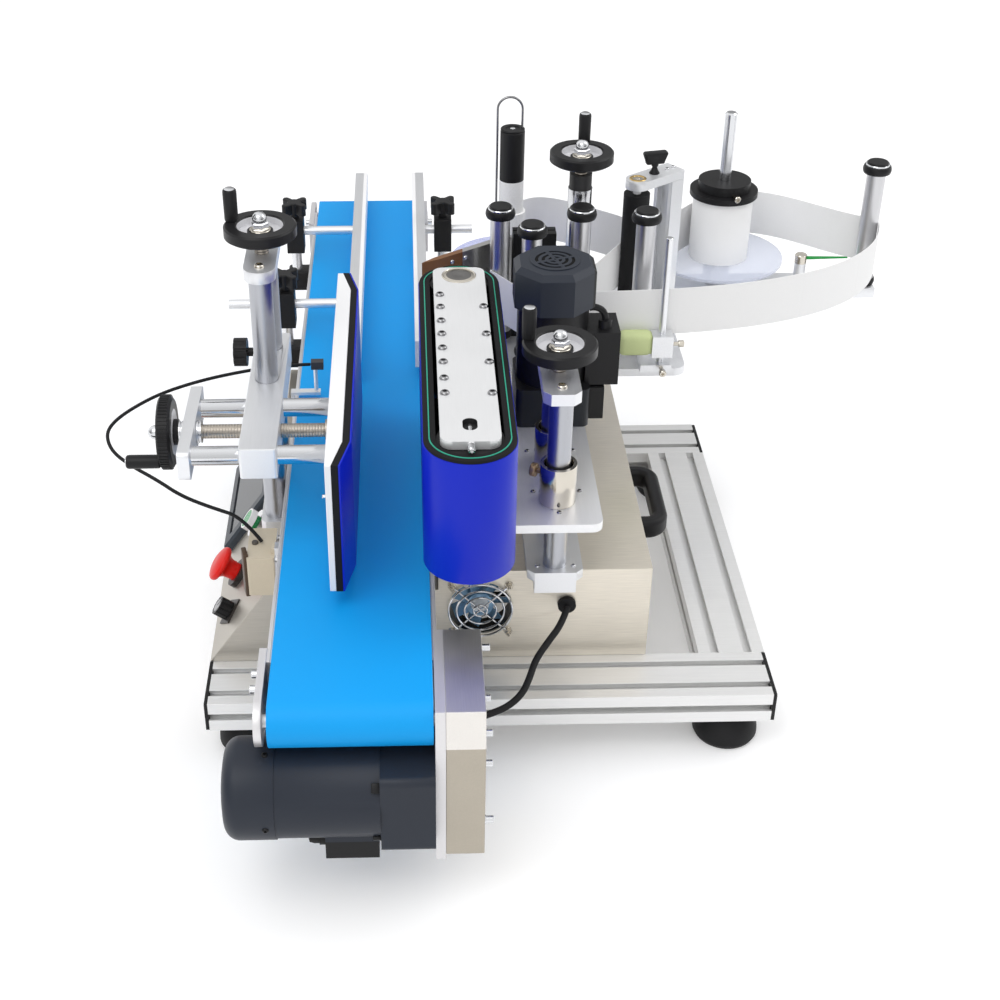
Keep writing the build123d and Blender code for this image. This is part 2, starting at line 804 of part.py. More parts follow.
block_x = (left_lift[0] - block_width / 2, left_lift[0] + block_width / 2)
block_z = (block_top - block_height, block_top)
rod_z_place = block_top - block_height / 2 - 1
near_rod = block_front + rod_setback
far_rod = near_rod + rod_spacing
feed_y = (near_rod + far_rod) / 2
with BuildPart() as pad_block:
    slab(block_x, (block_front, block_front + block_length), block_z)
    chamfer(pad_block.edges().filter_by(Axis.Z), 1.5)
    for x, y in lift_spots(left_lift):
        rod_z(post_radius + bush_clearance, x, y, (block_z[0] - 1, block_z[1] + 1), Mode.SUBTRACT)
    rod_z(screw_radius + screw_clearance, *left_lift, (block_z[0] - 1, block_z[1] + 1), Mode.SUBTRACT)
    for y in (near_rod, far_rod):
        rod_x(rod_radius + bush_clearance, (block_x[0] - 1, block_x[1] + 1), y, rod_z_place, Mode.SUBTRACT)
    through = (block_x[0] - 1, block_x[1] + 1)
    rod_x(screw_radius + screw_clearance, through, feed_y, rod_z_place, Mode.SUBTRACT)
write(pad_block, "pad_block")

pad_knob_at = (block_front + block_length - 14, block_top - 12)
with BuildPart() as pad_knob:
    neck = (block_x[0] - 8, block_x[0] - side_clearance)
    rod_x(4, neck, *pad_knob_at)
    with BuildSketch(Plane((neck[0], *pad_knob_at), x_dir=(0, 1, 0), z_dir=(-1, 0, 0))):
        Circle(13)
        with PolarLocations(13.5, 10):
            Circle(1.6, mode=Mode.SUBTRACT)
    extrude(amount=12)
write(pad_knob, "pad_knob")

with BuildPart() as pad_rods:
    for y in (near_rod, far_rod):
        rod_x(rod_radius, (end_plate_x - yoke_thickness, pad_back), y, rod_z_place)
    yoke = (end_plate_x - yoke_thickness, feed_y, rod_z_place)
    with BuildSketch(Plane(yoke, x_dir=(0, 1, 0), z_dir=(1, 0, 0))):
        RectangleRounded(rod_spacing + 2 * yoke_margin, yoke_height, 4)
        Circle(screw_radius + screw_clearance, mode=Mode.SUBTRACT)
    extrude(amount=yoke_thickness)
write(pad_rods, "pad_rods")

feed_hub = end_plate_x - yoke_thickness - 5
feed_screw = block_x[1] + 18 - feed_hub
feed_wheel = hand_wheel((feed_hub, feed_y, rod_z_place), (-1, 0, 0), (0, -1, 0), feed_screw, -40)
write(feed_wheel, "feed_hand_wheel")

pad_face = pad_back + pad_plate_thickness
pad_back_y = pad_front + pad_length


def pad_outline(near, far, back, face, taper):
    """Plan of the pad or its foam: straight face with both ends drawn back."""
    return [
        (back, near), (face - taper, near), (face, near + pad_bevel),
        (face, far - pad_bevel), (face - taper, far), (back, far),
    ]


with BuildPart() as pad_plate:
    with BuildSketch(Plane.XY.offset(pad_bottom)):
        with BuildLine():
            Polyline(*pad_outline(pad_front, pad_back_y, pad_back, pad_face, pad_taper), close=True)
        make_face()
    extrude(amount=pad_height)
write(pad_plate, "pad_plate")

with BuildPart() as pad_foam:
    with BuildSketch(Plane.XY.offset(pad_bottom)):
        with BuildLine():
            inner = pad_outline(pad_front, pad_back_y, pad_back, pad_face, pad_taper)[1:5]
            outer = [(x + pad_foam_thickness, y) for x, y in reversed(inner)]
            Polyline(*inner, *outer, close=True)
        make_face()
    extrude(amount=pad_height)
write(pad_foam, "pad_foam")

# Side belt carriage

plate_z = (plate_top - plate_thickness, plate_top)
with BuildPart() as carriage_plate:
    slab((plate_left, plate_right), (plate_near, plate_far), plate_z)
    fillet(carriage_plate.edges().filter_by(Axis.Z), 9)
    for x, y in lift_spots(right_lift):
        rod_z(collar_radius, x, y, (plate_top + seat_gap, plate_top + collar_height))
        rod_z(post_radius + bush_clearance, x, y, (plate_z[0] - 1, plate_top + 12), Mode.SUBTRACT)
        rod_z(collar_bore, x, y, (plate_top + 12, plate_top + collar_height + 1), Mode.SUBTRACT)
    rod_z(screw_radius + screw_clearance, *right_lift, (plate_z[0] - 1, plate_top + 1), Mode.SUBTRACT)
    shaft_bore = side_shaft_radius + run_clearance
    rod_z(shaft_bore, side_belt_x, side_far_y, (plate_z[0] - 1, plate_top + 1), Mode.SUBTRACT)
write(carriage_plate, "carriage_plate")

belt_top_z = side_belt_bottom + side_belt_height
head_plate_z = (belt_top_z - 1, belt_top_z - 1 + head_plate_thickness)
foot_plate_z = (plate_top, plate_top + head_plate_thickness)
side_middle = (side_near_y + side_far_y) / 2
side_span = side_far_y - side_near_y
near_shaft_top = head_plate_z[0] + blind_depth
with BuildPart() as belt_plates:
    for z in (head_plate_z, foot_plate_z):
        with BuildSketch(Plane((side_belt_x, side_middle, z[0]))):
            RectangleRounded(head_plate_width, side_span + 2 * head_plate_overrun, 9)
            with Locations((0, side_span / 2)):
                Circle(side_shaft_radius + run_clearance, mode=Mode.SUBTRACT)
        extrude(amount=z[1] - z[0])
    shaft_bore = side_shaft_radius + run_clearance
    rod_z(shaft_bore, side_belt_x, side_near_y, (foot_plate_z[0] - 1, foot_plate_z[1] + 1), Mode.SUBTRACT)
    rod_z(shaft_bore, side_belt_x, side_near_y, (head_plate_z[0] - 1, near_shaft_top + side_clearance),
          Mode.SUBTRACT)
    with BuildSketch(Plane((side_belt_x, side_near_y + tension_slot[2], near_shaft_top))):
        SlotCenterToCenter(tension_slot[0], tension_slot[1], rotation=90)
    extrude(amount=head_plate_thickness, mode=Mode.SUBTRACT)
    tension_z = head_plate_z[1] - 2.6
    tension_end = side_near_y - head_plate_overrun
    rod_y(1.6, side_belt_x, (tension_end - 1, side_near_y + tension_slot[2] + 2), tension_z)
    rod_y(2.6, side_belt_x, (tension_end - 9, tension_end), tension_z)
    for y in (-60, 60):
        slab((side_belt_x - 14, side_belt_x + 14), (side_middle + y - 14, side_middle + y + 14),
             (foot_plate_z[1], head_plate_z[0]))
write(belt_plates, "belt_plates")

with BuildPart() as side_belt:
    inside = side_belt_radius - side_belt_thickness
    with BuildSketch(Plane((side_belt_x, side_middle, side_belt_bottom + 1.5))):
        SlotCenterToCenter(side_span, 2 * side_belt_radius, rotation=90)
        SlotCenterToCenter(side_span, 2 * inside, rotation=90, mode=Mode.SUBTRACT)
    extrude(amount=side_belt_height - 1.5)
write(side_belt, "side_belt")

side_roller_radius = inside - side_roller_clearance
side_roller_z = (foot_plate_z[1] + side_clearance, head_plate_z[0] - side_clearance)
under_pulley_z = (plate_z[0] - 14, plate_z[0] - 2)


def side_roller(y, bottom, top):
    """A vertical roller inside the side belt, on a shaft from bottom to top."""
    with BuildPart() as roller:
        rod_z(side_roller_radius, side_belt_x, y, side_roller_z)
        rod_z(side_shaft_radius, side_belt_x, y, (bottom, top))
    return roller


side_drive_roller = side_roller(side_far_y, under_pulley_z[0], head_plate_z[1])
with side_drive_roller:
    rod_z(17, side_belt_x, side_far_y, under_pulley_z)
write(side_drive_roller, "side_drive_roller")
write(side_roller(side_near_y, foot_plate_z[0], near_shaft_top), "side_idler_roller")

with BuildPart() as side_motor_part:
    x, y = side_motor
    half = side_motor_frame / 2
    gear_top = plate_top + side_gearbox_height
    motor_top = gear_top + side_motor_height
    with BuildSketch(Plane((x, y, plate_top))):
        RectangleRounded(side_motor_frame, side_motor_frame, 6)
    extrude(amount=side_gearbox_height)
    rod_z(half - 1, x, y, (gear_top, motor_top))
    with BuildSketch(Plane((x, y, motor_top))):
        RegularPolygon(side_fan_width / 2, 8, major_radius=False, rotation=22.5)
    extrude(amount=side_fan_height)
    chamfer(side_motor_part.faces().sort_by(Axis.Z)[-1].edges(), 5)
    with BuildSketch(Plane((x, y, motor_top + side_fan_height - vent_depth))):
        for ring in vent_rings:
            Circle(ring + vent_width / 2)
            Circle(ring - vent_width / 2, mode=Mode.SUBTRACT)
        for turn in (45, 135):
            Rectangle(2 * side_fan_width, vent_width, rotation=turn, mode=Mode.SUBTRACT)
    extrude(amount=vent_depth + 1, mode=Mode.SUBTRACT)
    slab((x + half - 4, x + half - 4 + side_box[0] + 4), (y - side_box[1] / 2, y + side_box[1] / 2),
         (gear_top - 2, gear_top - 2 + side_box[2]))
    slab((x + half - 1, x + half + 14), (y - 22, y + 6), (plate_top + 2, gear_top - 4))
    gland = Vector(x + half + side_box[0] / 2, y - 8, gear_top + side_box[2] + 6)
    rod_z(6, gland.X, gland.Y, (gear_top - 2 + side_box[2], gland.Z))
    with BuildLine():
        ThreePointArc(gland, gland + Vector(-4, 0, 9), gland + Vector(-15, 0, 11))
    with BuildSketch(Plane(gland)):
        Circle(3)
    sweep()
write(side_motor_part, "side_motor")

# Guide rails and clamps

rod_place = guide_bottom + guide_height / 2
clamp_bottom = rod_place - clamp_size[2] * 0.6
left_clamp_spots = [(left_clamp_x, y) for y in left_clamps]
right_clamp_spots = [(right_clamp_x, y) for y in right_clamps]
clamp_spots = left_clamp_spots + right_clamp_spots
clamp_top = clamp_bottom + clamp_size[2]
with BuildPart() as rail_clamps:
    for x, y in clamp_spots:
        slab((x - clamp_size[0] / 2, x + clamp_size[0] / 2), (y - clamp_size[1] / 2, y + clamp_size[1] / 2),
             (clamp_bottom, clamp_top))
        rod_x(guide_rod_radius + bush_clearance, (x - 20, x + 20), y, rod_place, Mode.SUBTRACT)
        face = conveyor_x + math.copysign(rail_outer, x - conveyor_x)
        slab(sorted((face, x + math.copysign(7, x - face))), (y - 10, y + 10), (rail_top - 40, rail_top - 28))
        rod_z(clamp_post_radius, x, y, (rail_top - 30, clamp_bottom + 1))
write(rail_clamps, "rail_clamps")


def guide_rail(x, near, clamps, reach):
    """A guide rail with a lip along its top, and the rods that hold it."""
    with BuildPart() as rail:
        with BuildSketch(Plane((x, near, guide_bottom), x_dir=(1, 0, 0), z_dir=(0, -1, 0))):
            with Locations((0, guide_height / 2)):
                Rectangle(guide_width, guide_height)
            with Locations((math.copysign(guide_width / 2, x - conveyor_x), guide_height / 2)):
                Rectangle(9, guide_height - 8, mode=Mode.SUBTRACT)
        extrude(amount=near - guide_far)
        with BuildSketch(Plane.YZ.offset(x - guide_width)):
            with BuildLine():
                top = guide_bottom + guide_height
                Polyline((guide_far - 24, top), (guide_far, top), (guide_far, top - 14), close=True)
            make_face()
        extrude(amount=2 * guide_width, mode=Mode.SUBTRACT)
        for y in clamps:
            rod_x(guide_rod_radius, sorted((x, reach)), y, rod_place)
    return rail


left_guide = guide_rail(left_guide_x, left_guide_near, left_clamps, left_clamp_x - 60)
write(left_guide, "left_guide_rail")
right_guide = guide_rail(right_guide_x, right_guide_near, right_clamps, right_clamp_x + 34)
write(right_guide, "right_guide_rail")


def lobed_knob(x, y):
    """A four-lobed clamp knob on its short neck, standing on a clamp block."""
    with BuildPart() as knob:
        rod_z(5, x, y, (clamp_top + side_clearance, clamp_top + 8))
        with BuildSketch(Plane((x, y, clamp_top + 7))):
            Circle(8)
            with PolarLocations(0, 4, start_angle=45):
                with Locations((knob_radius / 2, 0)):
                    SlotOverall(knob_radius + 5, 8)
        extrude(amount=knob_height)
        fillet(knob.faces().sort_by(Axis.Z)[-1].edges(), 1.5)
    return knob


for number, (x, y) in enumerate(clamp_spots, 1):
    write(lobed_knob(x, y), f"clamp_knob_{number}")

# Label head

web_top = web_bottom + web_height
head_z = (head_top - head_thickness, head_top)
roller_bottom = head_top + 6
tube_bottom = roller_bottom + roller_gap
pin_top = cap_top - 14
arm_top = head_top + 8
with BuildPart() as label_base:
    slab((head_left, head_right), (head_front, head_back), head_z)
    fillet(label_base.edges().filter_by(Axis.Z), 12)
    with BuildSketch(Plane((0, 0, head_z[0]))):
        with Locations(((head_right + arm_root[0]) / 2 - 20, unwinder_at[1] - 15)):
            RectangleRounded(arm_root[0] - head_right + 80, 62, 12)
    extrude(amount=head_thickness)
    seat = head_top + seat_gap
    for x, y in guide_rollers.values():
        rod_z(7, x, y, (seat, roller_bottom))
        rod_z(pin_radius, x, y, (roller_bottom, pin_top))
    x, y = feed_roller_at
    rod_z(9, x, y, (seat, roller_bottom))
    rod_z(pin_radius, x, y, (roller_bottom, stand_top - stand_thickness - seat_gap))
    stand = Plane((x, y, 0), x_dir=(math.cos(stand_turn), math.sin(stand_turn), 0), z_dir=(0, 0, 1))
    with BuildSketch(stand.offset(stand_top - stand_thickness)):
        Circle(stand_width / 2)
        with Locations((stand_reach / 2 + 4, 0)):
            Rectangle(stand_reach + 8, stand_width)
    extrude(amount=stand_thickness)
    with BuildSketch(stand.offset(seat)):
        with Locations((stand_reach, 0)):
            Rectangle(16, stand_width)
        with Locations((stand_reach - 5, 0)):
            Rectangle(7, stand_width - 9, mode=Mode.SUBTRACT)
    extrude(amount=stand_top - stand_thickness - seat_gap - seat)
    for x, y in (unwinder_at, rewinder_at):
        rod_z(14, x, y, (seat, web_bottom - disc_thickness - 2 * roller_gap))
        rod_z(pin_radius, x, y, (web_bottom - 8, web_top + 20))
    with BuildSketch(Plane((0, 0, seat))):
        with Locations(((arm_root[0] + last_roller_at[0]) / 2, arm_root[1])):
            SlotCenterToCenter(last_roller_at[0] - arm_root[0], 22)
    extrude(amount=arm_top - seat)
    rod_z(7, *last_roller_at, (arm_top + seat_gap, arm_top + 2))
    rod_z(pin_radius, *last_roller_at, (arm_top + 2, pin_top))
    rod_z(6, *arm_root, (arm_top + seat_gap, arm_top + 34))
    for x, y in label_posts:
        rod_z(post_radius + 6, x, y, (seat, head_top + 14))
        rod_z(post_radius + bush_clearance, x, y, (head_z[0] - 1, head_top + 15), Mode.SUBTRACT)
    rod_z(label_sleeve_radius, *label_lift, (seat, label_top - label_ring_height))
    rod_z(label_sleeve_radius - 1, *label_lift, (label_top - label_ring_height, label_top))
    rod_z(screw_radius + screw_clearance, *label_lift, (head_z[0] - 1, label_top + 1), Mode.SUBTRACT)
write(label_base, "label_base")


def guide_roller(x, y, radius, bottom, top):
    """A tube between two end caps, bored from below for its pin."""
    with BuildPart() as roller:
        rod_z(radius, x, y, (bottom, top))
        for z in ((bottom, bottom + cap_height), (top - cap_height, top)):
            rod_z(radius + cap_overhang, x, y, z)
        chamfer(roller.faces().sort_by(Axis.Z)[-1].edges(), 2)
        rod_z(pin_radius + pin_clearance, x, y, (bottom - 1, pin_top + roller_gap), Mode.SUBTRACT)
    return roller


for name, (x, y) in guide_rollers.items():
    write(guide_roller(x, y, tube_radius, tube_bottom, cap_top), name)

with BuildPart() as feed_roller:
    x, y = feed_roller_at
    rod_z(feed_roller_radius, x, y, (tube_bottom, feed_roller_top))
    rod_z(pin_radius + pin_clearance, x, y, (tube_bottom - 1, feed_roller_top + 1), Mode.SUBTRACT)
write(feed_roller, "feed_roller")

write(guide_roller(*last_roller_at, tube_radius, arm_top + 2 + roller_gap, cap_top), "guide_roller_e")

disc_bottom = web_bottom - disc_thickness - roller_gap
with BuildPart() as unwind_disc:
    rod_z(disc_radius, *unwinder_at, (disc_bottom, disc_bottom + disc_thickness))
    rod_z(pin_radius + pin_clearance, *unwinder_at, (disc_bottom - 1, web_bottom + 1), Mode.SUBTRACT)
write(unwind_disc, "unwind_disc")

core_bottom = disc_bottom + disc_thickness
core_top = core_bottom + core_height
with BuildPart() as unwind_core:
    rod_z(core_radius, *unwinder_at, (core_bottom, core_top))
    rod_z(collar_flange, *unwinder_at, (core_top, core_top + 6))
    rod_z(27, *unwinder_at, (core_top + 6, core_top + 16))
    rod_z(spindle_radius, *unwinder_at, (core_top + 16, spindle_top))
    chamfer(unwind_core.faces().sort_by(Axis.Z)[-1].edges(), 1.5)
    pin_room = (core_bottom - 1, web_top + 20 + roller_gap)
    rod_z(pin_radius + pin_clearance, *unwinder_at, pin_room, Mode.SUBTRACT)
write(unwind_core, "unwind_core")

with BuildPart() as rewinder:
    x, y = rewinder_at
    rod_z(rewind_disc_radius, x, y, (disc_bottom, disc_bottom + disc_thickness))
    rod_z(rewind_paper_radius, x, y, (core_bottom, web_top + 8))
    rod_z(rewind_drum_radius, x, y, (core_bottom, rewind_drum_top))
    chamfer(rewinder.faces().sort_by(Axis.Z)[-1].edges(), 2)
    clip_reach = rewind_drum_radius - 3
    clip_out = rewind_drum_radius + 3
    leg = clip_top - (clip_reach + clip_out) / 2
    with BuildLine(Plane((x, y, 0), x_dir=(1, 0, 0), z_dir=(0, -1, 0))):
        Line((clip_reach, rewind_drum_top - 6), (clip_reach, leg))
        RadiusArc((clip_reach, leg), (-clip_out, leg), -(clip_reach + clip_out) / 2)
        Line((-clip_out, leg), (-clip_out, web_top + 10))
    with BuildSketch(Plane((x + clip_reach, y, rewind_drum_top - 6))):
        Circle(clip_wire)
    sweep()
    rod_z(pin_radius + pin_clearance, x, y, (disc_bottom - 1, web_top + 20 + roller_gap), Mode.SUBTRACT)
write(rewinder, "rewinder")

# Peeling plate, label eye and the label web

with BuildPart() as peel_plate:
    tip = Vector(-113, 29)
    root = Vector(-41, 79)
    way = (root - tip).normalized()
    length = (root - tip).length
    with BuildSketch(Plane((tip.X, tip.Y, web_bottom - 6), x_dir=(way.X, way.Y, 0), z_dir=(0, 0, 1))):
        with BuildLine():
            Polyline((0, 0), (16, -3), (length + 22, -3), (length + 22, 5), (16, 3), close=True)
        make_face()
    extrude(amount=web_height + 18)
    foot = tip + way * (length + 12)
    slab((foot.X - 9, foot.X + 9), (foot.Y - 8, foot.Y + 8), (head_top, web_bottom - 4))
write(peel_plate, "peel_plate")

with BuildPart() as label_eye:
    slab((-26, 20), (50, 70), (head_top, head_top + 6))
    slab((-24, 18), (51, 68), (head_top + 6, eye_top))
    slab((-25, 19), (59, 61), (web_bottom - 10, eye_top + 1), Mode.SUBTRACT)
    x, y = brake_at
    slab((x - 20, x + 10), (y - 10, y + 14), (head_top, head_top + 8))
    slab((x - 10, x + 10), (y - 10, y + 6), (head_top + 16, web_bottom + 7))
    rod_z(3.5, x, y, (head_top + 8, cap_top - 6))
    slab((x - 36, x - 10.2), (y - 7, y + 5), (head_top + 19, web_bottom + 6))
write(label_eye, "label_eye")


def web_strip(points):
    """One run of the label web: a thin upright sheet along the points."""
    with BuildLine() as path:
        if len(points) == 2:
            Line(*points)
        else:
            Spline(*points)
    trace(path.line, web_thickness)


with BuildPart() as label_web:
    lap = tube_radius + roller_gap + web_thickness / 2
    ex, ey = last_roller_at
    bx, by = guide_rollers["guide_roller_b"]
    ax, ay = guide_rollers["guide_roller_a"]
    cx, cy = guide_rollers["guide_roller_c"]
    ux, uy = unwinder_at
    fx, fy = feed_roller_at
    feed_lap = feed_roller_radius + roller_gap + web_thickness / 2
    rx, ry = rewinder_at
    runs = (
        [(bx, by - lap), (55, -13), (125, -9), (230, 12), (310, 55),
         (ex + 0.951 * lap, ey - 0.309 * lap)],
        [(ex + 0.57 * lap, ey + 0.82 * lap), (ux + 90, uy + 26), (ux + 40, uy + 54), (ux + 11, uy + 53),
         (ux - 13, uy + 36), (ux - 31, uy + 19), (ux - 53, uy - 7), (ux - 79, uy - 32),
         (fx + feed_lap, fy + 6)],
        [(bx - 0.9 * lap, by - 0.45 * lap), (ax - 0.9 * lap, ay - 0.45 * lap)],
        [(cx + 0.99 * lap, cy - 0.12 * lap), (fx - 0.98 * feed_lap, fy - 0.15 * feed_lap)],
        [(fx + 0.4 * feed_lap, fy + 0.92 * feed_lap), (fx - 2, fy + 60), (fx - 26, fy + 82),
         (rx + 34, ry + 53), (rx, ry + rewind_paper_radius + 1)],
    )
    for run in runs:
        with BuildSketch(Plane.XY.offset(web_bottom)):
            web_strip(run)
        extrude(amount=web_height)
write(label_web, "label_web")

# Cables that hang free


def cable(points, radius):
    """A round cable along points, straight between bends that are as wide as the runs allow."""
    spots = [Vector(*point) for point in points]
    bends = []
    for before, at, after in zip(spots, spots[1:], spots[2:]):
        turn = math.radians((at - before).get_angle(after - at))
        shorter = min((at - before).length, (after - at).length)
        bends.append(0.45 * shorter / math.tan(turn / 2))
    with BuildPart() as tube:
        with BuildLine():
            way = FilletPolyline(*points, radius=bends)
        with BuildSketch(Plane(spots[0], z_dir=spots[1] - spots[0])):
            Circle(radius)
        sweep()
    print("smallest bend", min(bends), "length", way.length, "volume", tube.part.volume)
    return tube


fibre_radius = 1.6
fibre_points = [
    (head_at[0] - 9, head_at[1], head_at[2]),
    (-248, -18.5, 237), (-285, -36, 240.5), (-322, -55, 242), (-357.5, -79, 242), (-382, -104.5, 240),
    (-396, -126, 238), (-399.4, -143, 235), (-391.5, -163, 230), (-373, -179, 225), (-348.7, -195, 220),
    (-326, -213.5, 215), (-298, -227, 211), (-272, -234.5, 206),
    (amplifier_right - amplifier_box[0] / 2, amplifier_near + 23, amplifier_bottom + amplifier_box[2] + 1.6),
]
write(cable(fibre_points, fibre_radius), "fibre_cable")

lead_radius = 3.0
lead_points = [
    (grommet_at[0], housing_front - 6.5, grommet_at[1]),
    (3, -279, 119), (-10, -296, 113), (-22, -312, 106), (-28, -328, 99), (-35, -342, 93.5), (-48, -354, 90),
    (-64, -363, 90), (-79, -372, 92.5), (-86, cover_back + 2, 95),
]
write(cable(lead_points, lead_radius), "motor_cable")
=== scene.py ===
import logging
import math
from dataclasses import dataclass, replace
from enum import Enum
from typing import Any, Callable, Iterable, Sequence

import bpy
from mathutils import Matrix, Vector


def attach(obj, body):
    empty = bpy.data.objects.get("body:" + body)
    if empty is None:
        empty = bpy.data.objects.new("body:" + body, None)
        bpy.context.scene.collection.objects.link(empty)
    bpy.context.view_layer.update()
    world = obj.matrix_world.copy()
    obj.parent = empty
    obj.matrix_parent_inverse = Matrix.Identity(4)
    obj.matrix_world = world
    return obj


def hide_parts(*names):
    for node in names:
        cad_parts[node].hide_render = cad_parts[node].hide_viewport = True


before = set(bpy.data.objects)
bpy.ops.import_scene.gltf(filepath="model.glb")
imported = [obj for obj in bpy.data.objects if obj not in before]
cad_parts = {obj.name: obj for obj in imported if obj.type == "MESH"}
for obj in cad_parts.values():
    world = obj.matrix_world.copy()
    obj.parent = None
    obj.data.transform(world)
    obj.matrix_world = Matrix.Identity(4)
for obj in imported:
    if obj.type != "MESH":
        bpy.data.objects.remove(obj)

LOG = logging.getLogger("labelling_machine")
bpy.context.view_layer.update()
MM = 0.001
MICRON = 0.000001
PER_METRE = 1000.0
SMOOTH_ANGLE = math.radians(35)
MIRROR = 0.22
PANEL_FOOT = (-309.0, 65.0)
PANEL_RISE = (0.5792, 0.8152)
LEFT, RIGHT, FRONT, UP = (-1, 0, 0), (1, 0, 0), (0, -1, 0), (0, 0, 1)
Colour = tuple[float, float, float]
Point = tuple[float, float, float]
Station = tuple[float, float]
Thing = bpy.types.Object


def arithmetic(operation: str, swapped: bool = False) -> Callable[..., "Wire"]:
    """Make a method of Wire that adds one Math node.

    Args:
        operation: the node's operation.
        swapped: whether the wire itself is the second value.

    Returns:
        The method.
    """
    def method(self: "Wire", *others: Any) -> "Wire":
        """Work the wire and the other values out."""
        values = (*others, self) if swapped else (self, *others)
        return self.graph.node("ShaderNodeMath", {"operation": operation}, dict(enumerate(values)))

    return method


class Wire:
    """One socket of a shader graph, with arithmetic; for masks, * asks for both and | joins them."""

    def __init__(self, graph: "Graph", socket: bpy.types.NodeSocket) -> None:
        """Keep the graph and its socket."""
        self.graph = graph
        self.socket = socket

    __add__ = arithmetic("ADD")
    __sub__ = arithmetic("SUBTRACT")
    __rsub__ = arithmetic("SUBTRACT", swapped=True)
    __mul__ = arithmetic("MULTIPLY")
    __pow__ = arithmetic("POWER")
    __mod__ = arithmetic("FLOORED_MODULO")
    __abs__ = arithmetic("ABSOLUTE")
    __gt__ = arithmetic("GREATER_THAN")
    __lt__ = arithmetic("LESS_THAN")
    __or__ = arithmetic("MAXIMUM")
    sine = arithmetic("SINE")
    bearing = arithmetic("ARCTAN2")

    def clamped(self) -> "Wire":
        """This, kept between 0 and 1."""
        settings = {"operation": "ADD", "use_clamp": True}
        return self.graph.node("ShaderNodeMath", settings, {0: self, 1: 0.0})


def reach(first: Wire, second: Wire) -> Wire:
    """Length of two offsets at right angles."""
    return (first * first + second * second) ** 0.5


class Graph:
    """The node graph of one material, with its surface shader ready."""

    def __init__(self, name: str) -> None:
        """Make an empty material of that name.

        Args:
            name: the material's name.
        """
        self.material = bpy.data.materials.new(name)
        self.material.use_nodes = True
        self.tree = self.material.node_tree
        self.tree.nodes.clear()
        output = self.tree.nodes.new("ShaderNodeOutputMaterial")
        self.surface = self.tree.nodes.new("ShaderNodeBsdfPrincipled")
        self.tree.links.new(self.surface.outputs["BSDF"], output.inputs["Surface"])

    def feed(self, socket: bpy.types.NodeSocket, value: Any) -> None:
        """Link a wire to a socket, or set a constant on it.

        Args:
            socket: the input.
            value: a wire, a number, a colour or a vector.
        """
        if isinstance(value, Wire):
            self.tree.links.new(value.socket, socket)
        else:
            socket.default_value = (*value, 1.0) if socket.type == "RGBA" else value

    def node(self, kind: str, settings: dict[str, Any] | None = None,
             inputs: dict[Any, Any] | None = None, output: Any = 0) -> Wire:
        """Add one node.

        Args:
            kind: the node's type.
            settings: its settings, set before its sockets.
            inputs: values or wires by socket name or number.
            output: which output to return.

        Returns:
            The asked-for output.
        """
        made = self.tree.nodes.new(kind)
        for key, value in (settings or {}).items():
            setattr(made, key, value)
        for key, value in (inputs or {}).items():
            self.feed(made.inputs[key], value)
        return Wire(self, made.outputs[output])

    def set(self, **values: Any) -> None:
        """Feed the surface shader; names are its sockets with _ for a space."""
        for key, value in values.items():
            self.feed(self.surface.inputs[key.replace("_", " ")], value)

    def place(self, output: str = "Object", scale: float = PER_METRE) -> "Place":
        """Where on the piece, in the machine's own frame.

        Args:
            output: which coordinates to read.
            scale: what the separate values are multiplied by.

        Returns:
            The place.
        """
        vector = self.node("ShaderNodeTexCoord", output=output)
        parts = [self.node("ShaderNodeSeparateXYZ", inputs={0: vector}, output=axis) for axis in range(3)]
        return Place(vector, *(part * scale for part in parts))

    def noise(self, vector: Wire, scale: float, detail: float = 3.0, stretch: Point = (1, 1, 1)) -> Wire:
        """Cloudy noise around 0.5.

        Args:
            vector: where to read it.
            scale: how fine it is, per metre.
            detail: how many finer layers it has.
            stretch: scale along each axis.

        Returns:
            The noise value.
        """
        if stretch != (1, 1, 1):
            vector = self.node("ShaderNodeMapping", inputs={"Vector": vector, "Scale": stretch})
        return self.node("ShaderNodeTexNoise", inputs={"Vector": vector, "Scale": scale, "Detail": detail})

    def blend(self, mask: Any, first: Any, second: Any, how: str = "MIX") -> Wire:
        """Mix two colours.

        Args:
            mask: 0 gives the first and 1 the second.
            first: colour or wire.
            second: colour or wire.
            how: the node's blend type.

        Returns:
            The mixed colour.
        """
        settings = {"data_type": "RGBA", "blend_type": how}
        return self.node("ShaderNodeMix", settings, {0: mask, 6: first, 7: second}, output=2)

    def shade(self, colour: Any, amount: Wire) -> Wire:
        """A colour times a grey amount."""
        return self.blend(1.0, colour, self.grey(amount), "MULTIPLY")

    def grey(self, amount: Wire) -> Wire:
        """A value as a grey colour."""
        return self.node("ShaderNodeCombineColor", inputs={0: amount, 1: amount, 2: amount})

    def bump(self, height: Wire, relief: float) -> None:
        """Raise the surface by a height value times a relief in microns."""
        inputs = {"Height": height, "Distance": relief * MICRON, "Strength": 1.0}
        self.set(Normal=self.node("ShaderNodeBump", inputs=inputs))


class Sky(Graph):
    """The world's graph, whose surface is its background."""

    def __init__(self, name: str) -> None:
        """Make an empty world of that name and use it.

        Args:
            name: the world's name.
        """
        world = bpy.data.worlds.new(name)
        bpy.context.scene.world = world
        world.use_nodes = True
        self.tree = world.node_tree
        self.surface = self.tree.nodes["Background"]


